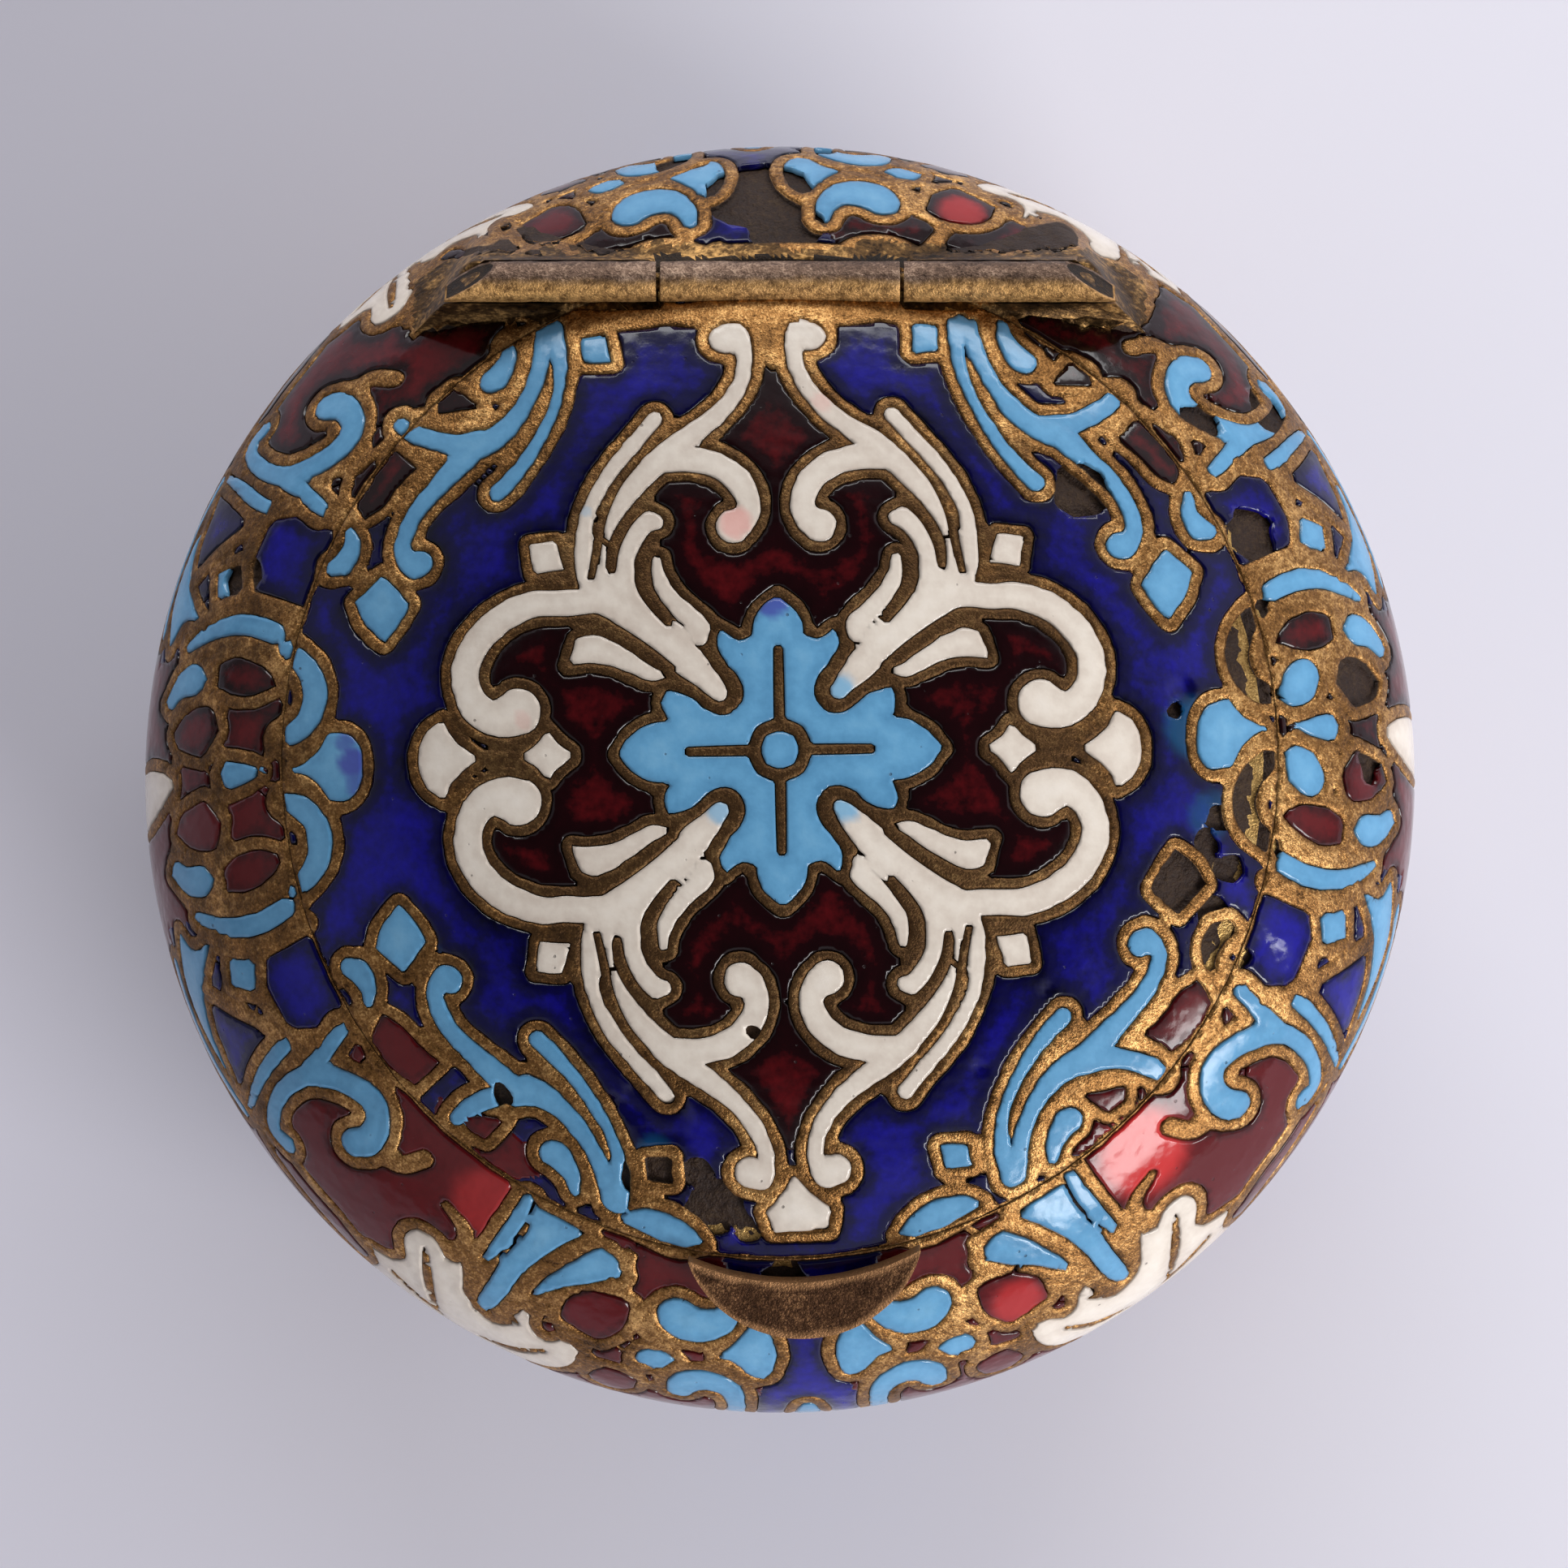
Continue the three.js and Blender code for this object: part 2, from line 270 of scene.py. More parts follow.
# the ornament: one quarter in flat millimetres from the middle of the lid, x to the side, y to the rear
# a stroke is x, y, half width along its path; a cell is an outline, with a third value of 1 at its corners
centreMotif = [
    ("stroke", "white", "join", [(4.05, 4.95, 0.16), (3.3, 4.4, 0.16)]),
    ("cell", "turquoise", "cross", [(0, -0.1, 1), (0, 6, 1), (0.62, 5.5), (0.92, 4.95), (0.98, 4.45, 1),
        (1.55, 4.25), (2.2, 4.7, 1), (2.35, 4.1), (2, 3.4), (1.55, 2.85), (1.33, 2.2), (1.6, 1.6),
        (2.2, 1.36), (2.85, 1.62), (3.4, 2.1), (4.3, 2.4, 1), (4.5, 1.85), (4.25, 1.2, 1), (5, 1.08),
        (5.7, 0.7), (6.25, 0, 1), (-0.1, -0.1, 1)]),
    ("stroke", "white", "upperStem", [(1.7, 16.55, 0.62), (1.35, 16.72, 0.6), (1.02, 16.2, 0.36),
        (1, 15.5, 0.31), (1.35, 14.5, 0.33), (2.1, 13.5, 0.36), (3, 12.75, 0.42), (4, 12, 0.5),
        (5, 11.1, 0.5), (5.9, 10.1, 0.45), (6.5, 9.1, 0.38), (6.9, 8.1, 0.36), (7.05, 7.2, 0.45),
        (6.9, 6.4, 0.6)]),
    ("stroke", "white", "spiral", [(4.4, 11.55, 0.5), (3.3, 11.55, 0.5), (2.2, 11.25, 0.52),
        (1.4, 10.6, 0.5), (1.05, 9.75, 0.47), (1.2, 9.1, 0.5), (1.65, 8.78, 0.68)]),
    ("stroke", "white", "outerFeather", [(4.65, 13.3, 0.3), (5.3, 12.5, 0.3), (6.15, 11.5, 0.3),
        (6.85, 10.5, 0.29), (7.35, 9.4, 0.27), (7.5, 8.3, 0.32), (7.35, 7.2, 0.45), (7.1, 6.5, 0.5)]),
    ("stroke", "white", "innerLeaf", [(4.65, 9.05, 0.3), (5.2, 9, 0.5), (5.72, 8.3, 0.48),
        (5.95, 7.4, 0.42), (6, 6.6, 0.6), (5.9, 6.2, 0.6)]),
    ("stroke", "white", "lowerLeaf", [(4.62, 7.5, 0.16), (4.55, 6.75, 0.28), (4.1, 5.95, 0.34),
        (3.5, 5.3, 0.38), (3, 4.8, 0.4), (3, 4.4, 0.3)]),
    ("stroke", "white", "stem", [(6.9, 6.3, 0.75), (6, 5.75, 0.72), (5.1, 5, 0.68), (4.15, 4.2, 0.66),
        (3.3, 3.35, 0.58), (2.65, 2.65, 0.42), (2.3, 2.25, 0.32)]),
    ("cell", "white", "sideFeather", [(4.2, 2.95, 1), (5.2, 3.58), (6.3, 4.3), (7.2, 4.68), (7.8, 4.5, 1),
        (8.12, 3.5, 1), (7.3, 3.55), (6.5, 3.45), (5.7, 3.1), (4.95, 2.78)]),
    ("stroke", "white", "sideScroll", [(7.1, 6, 0.5), (8.3, 5.95, 0.5), (9.5, 5.93, 0.53),
        (10.7, 5.47, 0.56), (11.7, 4.6, 0.56), (12.2, 3.5, 0.56), (12.1, 2.5, 0.56), (11.55, 1.75, 0.62),
        (10.8, 1.5, 0.72), (10.15, 1.75, 0.92)]),
    ("cell", "white", "sideKite", [(7.85, -0.05, 1), (8.5, 0.42), (8.95, 0.95, 1), (9.35, 0.5),
        (10.1, -0.05, 1)]),
    ("cell", "white", "sideFan", [(11.6, -0.05, 1), (12.4, 0.5), (12.9, 1.05), (13.15, 1.55, 1),
        (13.75, 1.15), (14.08, 0.55), (14.15, -0.05, 1)]),
    ("cell", "white", "stud", [(8.25, 7.3, 1), (9.45, 7.15, 1), (9.65, 8.35, 1), (8.6, 8.45, 1)]),
]
diagonalMotif = [
    ("stroke", "turquoise", "outerStrip", [(8.5, 17.6, 0.42), (8.3, 16.6, 0.38), (8.2, 15.6, 0.27),
        (8.4, 14.4, 0.22), (8.9, 13.2, 0.24), (9.55, 12.1, 0.27), (10.3, 11.15, 0.32),
        (10.85, 10.6, 0.35)]),
    ("stroke", "turquoise", "innerStrip", [(8.7, 17.5, 0.42), (8.85, 16.5, 0.38), (9.1, 15.5, 0.33),
        (9.5, 14.5, 0.33), (10.1, 13.6, 0.4), (10.8, 12.95, 0.48), (11.6, 12.55, 0.55)]),
    ("stroke", "turquoise", "arm", [(11.5, 12.7, 0.55), (12.5, 12.75, 0.42), (13.5, 13.05, 0.4),
        (14.3, 13.45, 0.38), (14.8, 13.85, 0.3)]),
    ("stroke", "turquoise", "hook", [(11.8, 12.5, 0.6), (12.5, 11.75, 0.5), (13.3, 10.95, 0.4),
        (14.1, 10.1, 0.36), (14.62, 9.1, 0.34), (14.68, 8.35, 0.36), (14.2, 7.85, 0.52), (14, 7.9, 0.52)]),
    ("stroke", "turquoise", "comma", [(10.2, 17, 0.2), (10.3, 16.2, 0.36), (10.75, 15.4, 0.52),
        (10.95, 15.3, 0.5)]),
    ("cell", "turquoise", "kite", [(15.55, 7.55, 1), (16.7, 6.55, 1), (16.3, 5.65), (15.5, 4.85, 1),
        (14.9, 5.55), (14.45, 6.3, 1), (14.9, 6.85)]),
    ("stroke", "turquoise", "drop", [(16.9, 9.5, 0.2), (16.85, 8.8, 0.38), (17.2, 8.2, 0.48),
        (17.6, 8.05, 0.36)]),
    ("cell", "turquoise", "smallStud", [(5.8, 15.75, 1), (6.85, 15.8, 1), (6.95, 16.85, 1),
        (5.95, 16.9, 1)]),
    ("cell", "red", "lozenge", [(14.05, 11.95, 1), (15.2, 12.9, 1), (16.7, 11.9, 1), (16.9, 11),
        (16.3, 10, 1), (15.5, 10.45), (14.9, 11.2)]),
    ("cell", "red", "eye", [(11.5, 14.25, 1), (13.2, 14.15, 1), (13.15, 14.75), (12.45, 15.2, 1),
        (12, 14.75)]),
]
sideMotif = [
    ("cell", "turquoise", "innerFan", [(19.65, -0.05, 1), (18.6, 0.5), (17.95, 1.35, 1), (17.1, 1.3),
        (16.6, 0.7), (16.5, -0.05, 1)]),
    ("stroke", "turquoise", "ring", [(19.75, 4.9, 0.35), (18.8, 3.95, 0.48), (18.5, 3, 0.53),
        (18.75, 2.1, 0.5), (19.4, 1.5, 0.45), (20.1, 1.25, 0.3)]),
    ("stroke", "turquoise", "outerRing", [(20.3, 5.6, 0.42), (21.4, 6.1, 0.44), (22.6, 6.3, 0.42),
        (23.9, 6.2, 0.36), (25.2, 5.8, 0.2)]),
    ("stroke", "turquoise", "petal", [(20.95, 1.3, 0.5), (21.3, 1.75, 0.82), (21.6, 2.1, 0.72)]),
    ("cell", "turquoise", "outerFan", [(20.9, -0.05, 1), (21.8, 0.35), (22.9, 0.6, 1), (23.3, -0.05, 1)]),
    ("cell", "red", "crescent", [(20.2, 3.5, 1), (21.0, 4.35), (22.2, 4.85), (23.2, 4.8, 1),
        (23.3, 3.8, 1), (22.5, 3.35), (21.4, 3.2)]),
    ("cell", "turquoise", "leaf", [(23.9, 4.3, 1), (24.6, 4.95), (25.7, 4.8), (26.9, 3.8, 1), (26.4, 3.3),
        (25.6, 3.65), (24.5, 3.65)]),
    ("cell", "red", "heart", [(23.3, 1.9, 1), (23.7, 2.95), (25, 2.95), (26.2, 2.2, 1), (25.7, 1.4),
        (24.2, 0.9, 1)]),
    ("cell", "white", "outerFanWhite", [(26, -0.05, 1), (27, 0.6), (28.3, 1.1), (29.6, 1.3),
        (30.6, 1.35, 1), (30.6, -0.05, 1)]),
]
frontMotif = [
    ("stroke", "turquoise", "innerComma",
        [(2.75, 22.1, 0.3), (2.9, 22.8, 0.42), (3.5, 23.5, 0.65), (4.3, 23.7, 0.85), (5, 23.5, 0.9),
        (5.3, 23.1, 0.8)]),
    ("cell", "turquoise", "axisPetal", [(1.7, 26.67), (2.4, 26.57), (3, 25.8), (3.75, 25.4, 1), (2.9, 24.6),
        (2.15, 23.7), (1.55, 24.1), (1.25, 25.4)]),
    ("cell", "turquoise", "outerPetal", [(5.6, 25.6, 1), (6.4, 26.15), (7.4, 25.67, 1), (7.1, 25.15),
        (6.4, 24.95)]),
    ("stroke", "turquoise", "outerComma", [(3.5, 30.6, 0.42), (3.25, 28.75, 0.42), (3.45, 27.54, 0.55),
        (4.4, 26.91, 0.72), (5.3, 27.07, 0.75), (5.75, 27.74, 0.55)]),
    ("cell", "red", "innerRed", [(7.15, 22.7, 1), (7.7, 24), (8.8, 24.7, 1), (10.4, 23.45, 1), (9.8, 22.4),
        (8.7, 22), (7.6, 22.3)]),
    ("cell", "red", "outerRed", [(7.6, 27.16), (8.2, 28.1), (9.3, 28.24), (9.9, 27.15), (9, 26.24, 1),
        (8.2, 26.54)]),
    ("cell", "turquoise", "leaf", [(7.3, 21.25, 1), (8.6, 21.55), (10, 21.85), (11.5, 22.4, 1),
        (10.7, 21.5), (9.4, 20.6), (8.2, 19.95, 1), (7.55, 20.45)]),
    ("cell", "turquoise", "longLeaf", [(8.65, 19.3, 1), (10.2, 20.1), (11.6, 21.2), (12.8, 22.7),
        (14.2, 23.75, 1), (14.3, 23.12), (13.2, 21.7), (12.3, 20.4), (11.2, 19.3), (10.7, 18.1, 1)]),
    ("stroke", "turquoise", "strip", [(10.95, 17.8, 0.26), (11.5, 18.7, 0.32), (12.4, 19.8, 0.3),
        (13.2, 20.6, 0.16)]),
    ("cell", "turquoise", "lens", [(3.9, 19.8, 1), (4.9, 19.95), (6, 19.45), (7.3, 18.65, 1), (6.5, 18.2),
        (5.3, 18.4), (4.4, 19.05)]),
    ("cell", "white", "frontStud", [(-0.05, 16.7, 1), (0.65, 17.7), (1.3, 18.4, 1), (1.1, 19.35, 1),
        (-0.05, 19.35, 1)]),
    ("cell", "turquoise", "axisFan", [(-0.05, 28.51, 1), (0.4, 29.29), (0.6, 30.6, 1), (-0.05, 30.6, 1)]),
]
outerMotif = [
    ("stroke", "turquoise", "hubScroll", [(18.4, 15.5, 0.62), (17.7, 15.35, 0.65), (17.1, 14.6, 0.55),
        (17.15, 13.7, 0.52), (18, 13, 0.5), (19.2, 12.6, 0.5), (20.3, 12.6, 0.45), (21.5, 13.2, 0.4),
        (22.5, 14.2, 0.38), (22.9, 15.2, 0.4), (22.3, 15.8, 0.5)]),
    ("stroke", "turquoise", "hubStem", [(20, 12.4, 0.5), (19.2, 11.6, 0.36), (18.2, 10.6, 0.3)]),
    ("stroke", "turquoise", "blade", [(21.1, 11.3, 0.34), (22, 12, 0.32), (23.2, 13.1, 0.28),
        (24.5, 14.4, 0.18)]),
    ("cell", "turquoise", "edgeLeaf", [(24.6, 6.9, 1), (25.9, 7.2), (26.9, 6.3, 1), (27.3, 8.6),
        (26.6, 10.8), (25.3, 12.9, 1), (25.9, 10.6), (25.6, 8.6)]),
    ("stroke", "turquoise", "sweep", [(28.2, 7.6, 0.3), (28.1, 9.6, 0.42), (27.0, 12.2, 0.42),
        (25.2, 14.6, 0.3)]),
    ("cell", "turquoise", "sideStud", [(22.1, 7.7, 1), (23.5, 7.6, 1), (23.6, 8.8, 1), (22.3, 9, 1)]),
    ("cell", "white", "palmette", [(9.9, 25.4), (10.6, 26.4), (12, 27.2), (13.6, 27.4, 1), (15, 26.7, 1),
        (17.6, 25, 1), (19.6, 23.5, 1), (20.6, 22.5, 1), (19.4, 21.8), (19.2, 20.7, 1), (18, 21.2),
        (17.2, 21, 1), (16.9, 19.8), (16.2, 19.4), (15.4, 19.9), (15.1, 20.9, 1), (14.3, 20.9, 1),
        (14.6, 22.2), (14.5, 23.4), (13.6, 24.2), (12.6, 23.6), (11.6, 23, 1), (11.9, 24.2), (11.4, 24.9),
        (10.4, 24.8)]),
]

veins = [  # thin metal lines across the enamel: path and half width
    [(0, 1.0, 0.2), (0.71, 0.71, 0.2), (1.0, 0, 0.2)], [(1.0, 0, 0.17), (2.4, 0, 0.16), (3.5, 0, 0.14)],
    [(0, 1.0, 0.17), (0, 2.6, 0.16), (0, 3.9, 0.14)],
    [(7.2, 6.9, 0.1), (6.95, 8.1, 0.13), (6.75, 9.3, 0.14), (6.2, 10.6, 0.15), (5.4, 11.6, 0.14)],
    [(4.95, 9.9, 0.2), (5.75, 9.15, 0.2), (6.3, 8.1, 0.2), (6.4, 7.2, 0.14)],
    [(5.1, 7.7, 0.2), (5.25, 6.7, 0.2), (4.85, 5.85, 0.17), (4.2, 5.05, 0.13)],
    [(4.1, 3.2, 0.13), (5.1, 4.0, 0.16), (6.4, 4.85, 0.2), (7.2, 5.2, 0.22)],
    [(11.6, 25.6, 0.1), (13.4, 26.0, 0.2), (15.2, 25.8, 0.1)],
    [(12.4, 23.9, 0.1), (13.8, 23.9, 0.18), (14.6, 22.4, 0.1)],
    [(16.0, 20.4, 0.1), (16.4, 22.0, 0.2), (16.9, 24.0, 0.1)],
    [(18.6, 22.0, 0.1), (17.8, 23.4, 0.16), (17.0, 24.6, 0.1)],
]
redGrounds = [  # on the lid, whose ground is otherwise blue
    [(-1, 15.6), (0.9, 15.6), (1.6, 14.4), (2.8, 13), (3.5, 12.4), (5, 11.2), (6.2, 9.5), (6.6, 7.5),
     (6.5, 6.2), (7.5, 6), (9, 6.05), (10.5, 5.6), (11.8, 4.6), (12.2, 3.2), (11.5, 1.6), (10.9, -1),
     (-1, -1)],
    [(9.6, 16.6), (10.6, 15.4), (11.6, 14.6), (13, 14.2), (14.2, 13.4), (14.8, 14.6), (12, 17)],
]
blueGrounds = [  # on the sides, whose ground is otherwise red
    [(17.6, 4.4), (17.8, 8.2), (17.2, 9.5), (17.9, 11.8), (21.4, 10.8), (24.4, 14.2), (26, 14), (28, 6),
     (22, 5.6)],
    [(-2, 19.8), (3.4, 19.8), (2.6, 22.6), (1.4, 23.5), (0.9, 25.2), (1.4, 27.2), (3.4, 29), (3.2, 30.7),
     (-2, 30.7)],
]
webs = [  # bands of bare metal between the motifs: path and half width
    [(10.3, 0, 0.3), (11.5, 0, 0.3)],
    [(7.0, 20.4, 0.35), (8.9, 22.6, 0.3), (11.6, 23.2, 0.35), (12.2, 23.8, 0.4)],
    [(6.2, 24.2, 0.5), (7.2, 26.3, 0.35), (9.6, 26.0, 0.45), (10.4, 24.6, 0.5)],
    [(14.6, 18.1, 0.2), (13.9, 19.4, 0.35), (14.6, 20.8, 0.4)],
    [(15.2, 16.1, 0.4), (16.3, 16.4, 0.4), (17.2, 16.0, 0.4)],
    [(22.6, 16.0, 0.4), (21.6, 17.6, 0.35), (20.4, 19.2, 0.35), (19.6, 20.8, 0.4)],
    [(17.3, 9.9, 0.4), (18.9, 10.9, 0.45), (20.2, 11.0, 0.4), (21.0, 11.2, 0.5)],
    [(21.9, 9.2, 0.4), (21.2, 10.9, 0.45), (22.4, 10.3, 0.35), (23.9, 9.7, 0.4), (25.6, 8.9, 0.4)],
    [(19.3, 6.2, 0.45), (21.4, 7.2, 0.35), (22.6, 7.4, 0.4), (24.6, 6.4, 0.35)],
    [(24.4, 14.6, 0.35), (24.0, 16.6, 0.4), (22.6, 19.0, 0.3), (21.0, 22.0, 0.4)],
]
# where the hinge's solder took the enamel's place: wings beside the tubes, and a line behind the middle one
bared = {"back": 0.1, "halfDepth": 1.45, "wingMiddle": 9.6, "wingHalf": 4.9, "rearLine": 19.75,
         "rearHalf": 0.5, "rearEnd": 5}
goldPatches = [  # centre x, y and the radii of bare metal; the last value picks the rear or the front
    (0.0, 17.2, 0.6, 1.9, 1), (0.0, 17.85, 4.9, 0.8, 1), (5.8, 18.0, 2.3, 0.75, 1),
    (9.4, 19.7, 5.6, 1.5, 1), (0.0, 20.7, 5.0, 0.6, 1), (4.4, 21.0, 1.6, 0.8, 1),
]
quarters = [(1, 1), (-1, 1), (1, -1), (-1, -1)]
shifts = {  # how far the engraver's repeats stray from each other: quarter, name: x, y
    ((1, 1), "outerStrip"): (-0.55, -0.1), ((1, 1), "innerStrip"): (-0.55, -0.1),
    ((1, 1), "comma"): (-0.5, -0.1), ((1, 1), "arm"): (-0.5, -0.1), ((1, 1), "hook"): (-0.4, 0),
    ((-1, 1), "smallStud"): (0.4, 0), ((-1, -1), "outerStrip"): (-0.9, 0.2),
    ((-1, -1), "innerStrip"): (-0.9, 0.2), ((-1, -1), "comma"): (-0.9, 0.2),
    ((-1, -1), "hook"): (-0.6, 0.4), ((-1, -1), "kite"): (-0.2, 0.4), ((1, -1), "kite"): (0, -0.6),
    ((-1, -1), "arm"): (-0.9, 0.2), ((-1, -1), "smallStud"): (-0.7, 0),
}
patternTurn = 1.0  # degrees that the whole pattern sits round on the box
lostCells = {("kite", (1, -1)), ("drop", (1, -1)), ("ring", (1, 1)), ("ring", (1, -1)),
             ("smallStud", (-1, -1))}
losses = [  # flat x, y and radius of a lost patch of enamel, with the body that it is on
    (12.1, 10.3, 1.15, "lid"), (-2.9, -17.9, 1.2, "lid"), (-3.6, -16.4, 0.7, "lid"),
    (-11.2, -13.2, 0.5, "lid"), (15.6, 1.6, 0.35, "lid"), (16.9, -3.9, 0.7, "lid"),
    (17.2, -6.6, 0.8, "lid"), (-1.2, -10.8, 0.3, "lid"), (-1.7, -18.9, 0.6, "lid"),
    (-5.8, -16.6, 0.8, "lid"), (-3.9, 27.4, 1.3, "box"), (-0.4, 24.2, 2.3, "box"), (0.6, 22.3, 1.6, "box"),
    (19.4, 8.9, 1.2, "box"), (17.5, 13.8, 0.9, "box"), (24.6, 3.1, 1.5, "box"), (25.0, -0.4, 0.8, "box"),
    (17.4, -2.6, 0.6, "lid"), (17.8, -4.7, 0.7, "lid"), (16.3, -4.4, 0.5, "lid"), (-22.3, 8.3, 1.0, "box"),
    (21.5, 15.2, 1.2, "box"), (-0.2, -20.9, 0.9, "box"), (18.3, -8.2, 0.6, "box"), (2.2, 28.6, 0.9, "box"),
]
chips = [  # flat x, y, radius and depth of shallow flakes
    (16.4, -4.6, 0.9, 1.0), (15.9, 2.3, 0.6, 0.7), (-6.9, -13.6, 0.5, 0.8), (7.6, -12.4, 0.4, 0.5),
    (-4.6, -17.2, 0.8, 1.0), (19.9, -8.3, 0.9, 0.6), (12.9, 3.4, 0.3, 0.5), (-2.2, -15.8, 0.25, 0.6),
    (-4.7, -14.3, 1.2, 1.0), (-5.8, -13.5, 0.9, 0.8), (1.4, -19.0, 0.5, 0.8), (10.3, -9.4, 0.3, 0.5),
]
stains = {"white": [(-1.6, 8.9, 0.75, 0.5), (1.9, 13.9, 0.5, 0.25), (-9.9, 1.4, 0.4, 0.2)],
          "turquoise": [(-0.2, 5.8, 0.75, 0.8), (-16.9, 0.1, 0.8, 0.85), (-17.2, 0.9, 0.6, 0.6),
                        (-16.7, -0.8, 0.6, 0.6)],
          "navy": [(16.3, 0.9, 1.5, 0.8), (17.0, -2.6, 1.2, 0.6), (-5.2, -15.6, 0.9, 0.6),
                   (-14.2, -7.6, 1.0, 0.3)]}
# white gets a turquoise tint, its own colour; red gets bright red patches, painted light where the softboxes
# fall on the band
tintsAndLitPatches = {"white": [(2.35, 2.3, 0.75, 0.8), (2.4, -2.2, 0.75, 0.8), (-2.3, -2.25, 0.75, 0.7),
                    (-7.4, 9.6, 0.35, 0.35)],
          "red": [(14.5, -16.2, 2.4, 0.85), (12.0, -18.4, 1.6, 0.7), (-12.2, -17.8, 2.0, 0.4),
                  (8.2, 23.5, 1.3, 0.5), (9.6, -22.7, 1.4, 0.55)]}
metalWork = {"border": 0.37, "grow": 0.035, "rim": 0.1, "wander": 0.035, "shoulder": 0.1, "wear": 0.05,
             "cellDepth": 0.32}
enamelWork = {"gap": 0.04, "roundOver": 0.18, "sink": 0.02, "wall": 0.24}

# from the flat pattern to the shell's surface
arcAngle = np.linspace(0, math.pi / 2, 2001)
arcStep = np.hypot(shell["radius"] * np.cos(arcAngle), shell["halfHeight"] * np.sin(arcAngle))
arcReach = np.concatenate([[0], np.cumsum((arcStep[1:] + arcStep[:-1]) / 2 * np.diff(arcAngle))])
equatorReach = arcReach[-1]
rimReach = float(np.interp(math.asin(shell["rimRadius"] / shell["radius"]), arcAngle, arcReach))
baseReach = float(np.interp(math.asin(shell["baseRadius"] / shell["radius"]), arcAngle, arcReach))


def onShell(flat, depth):  # flat x, y and a negative z below the equator; depth is measured into the shell
    reach = np.hypot(flat[:, 0], flat[:, 1])
    angle = np.interp(reach, arcReach, arcAngle)
    side = np.where(flat[:, 2] < -1e-5, -1.0, 1.0)
    wide = shell["radius"] * np.sin(angle)
    tall = shell["halfHeight"] * np.cos(angle) * side
    steep = wide / shell["radius"] ** 2
    level = tall / shell["halfHeight"] ** 2
    size = np.hypot(steep, level)
    wide = wide - depth * steep / size
    tall = tall - depth * level / size
    reach = np.maximum(reach, 1e-9)
    turn = math.radians(patternTurn)
    x, y = flat[:, 0] / reach, flat[:, 1] / reach
    x, y = x * math.cos(turn) - y * math.sin(turn), x * math.sin(turn) + y * math.cos(turn)
    return np.column_stack([wide * x, wide * y, shell["equatorHeight"] + tall])


def ease(low, high, value):
    t = np.clip((value - low) / (high - low), 0, 1)
    return t * t * (3 - 2 * t)


def curved(points, step=0.22):  # a smooth line through points
    out = []
    for i in range(len(points) - 1):
        b, c = points[i], points[i + 1]
        a = points[i - 1] if i else 2 * b - c
        d = points[i + 2] if i + 2 < len(points) else 2 * c - b
        if len(points) == 2:
            a, d = 2 * b - c, 2 * c - b
        count = max(1, int(np.hypot(*(c - b)[:2]) / step))
        for k in range(count):
            t = k / count
            bend = 2 * b + (c - a) * t + (2 * a - 5 * b + 4 * c - d) * t * t
            out.append(0.5 * (bend + (3 * b - a - 3 * c + d) * t ** 3))
    return out


def through(points):  # the path of a stroke, to its last point
    path = [np.array(p, float) for p in points]
    return np.array(curved(path) + [path[-1]])


def outlineOf(points):  # a closed outline, smooth between its corners
    corners = [i for i, p in enumerate(points) if len(p) > 2]
    xy = [np.array(p[:2], float) for p in points]
    if not corners:
        return np.array(curved([xy[-1]] + xy + [xy[0], xy[1]]))
    out = []
    for n, start in enumerate(corners):
        end = corners[(n + 1) % len(corners)]
        span = range(start, end + 1) if end > start else [*range(start, len(xy)), *range(end + 1)]
        out += curved([xy[i] for i in span])
    return np.array(out)


def strayed(path, quarter, name):  # mirrors, shifts and twists a path into its place on the box
    sx, sy = quarter
    dx, dy = shifts.get((quarter, name), (0, 0))
    x, y = (path[:, 0] + dx) * sx, (path[:, 1] + dy) * sy
    reach = np.hypot(x, y)
    turn = np.radians(1.5 * ease(13, 20, reach))
    if quarter == (-1, -1) and (quarter, name) in shifts:
        turn = turn + math.radians(1.2)
    x, y = x * np.cos(turn) - y * np.sin(turn), x * np.sin(turn) + y * np.cos(turn)
    y = y + 0.5 * ease(14, 21, reach) * (1 - ease(25.5, 30.6, reach))
    return np.column_stack([x, y, path[:, 2:]])


def fromStroke(points, path):  # distance outside a stroke
    a, b = path[:-1], path[1:]
    along = b[:, :2] - a[:, :2]
    size = np.maximum((along ** 2).sum(1), 1e-9)
    best = np.full(len(points), 99.0)
    for i in range(len(a)):
        t = np.clip(((points - a[i, :2]) @ along[i]) / size[i], 0, 1)
        d = np.hypot(*(points - a[i, :2] - t[:, None] * along[i]).T) - (a[i, 2] + t * (b[i, 2] - a[i, 2]))
        best = np.minimum(best, d)
    return best


# distance outside a closed outline, of which only the real sides count
def fromOutline(points, ring, real=None):
    nxt = np.roll(ring, -1, axis=0)
    best, inside = np.full(len(points), 99.0), np.zeros(len(points), bool)
    for a, b, counts in zip(ring, nxt, np.ones(len(ring)) if real is None else real):
        along = b - a
        size = max(float(along @ along), 1e-9)
        t = np.clip(((points - a) @ along) / size, 0, 1)
        if counts:
            best = np.minimum(best, np.hypot(*(points - a - t[:, None] * along).T))
        if a[1] != b[1]:
            crosses = (a[1] > points[:, 1]) != (b[1] > points[:, 1])
            inside ^= crosses & (points[:, 0] < a[0] + (points[:, 1] - a[1]) * along[0] / along[1])
    return np.where(inside, -best, best)


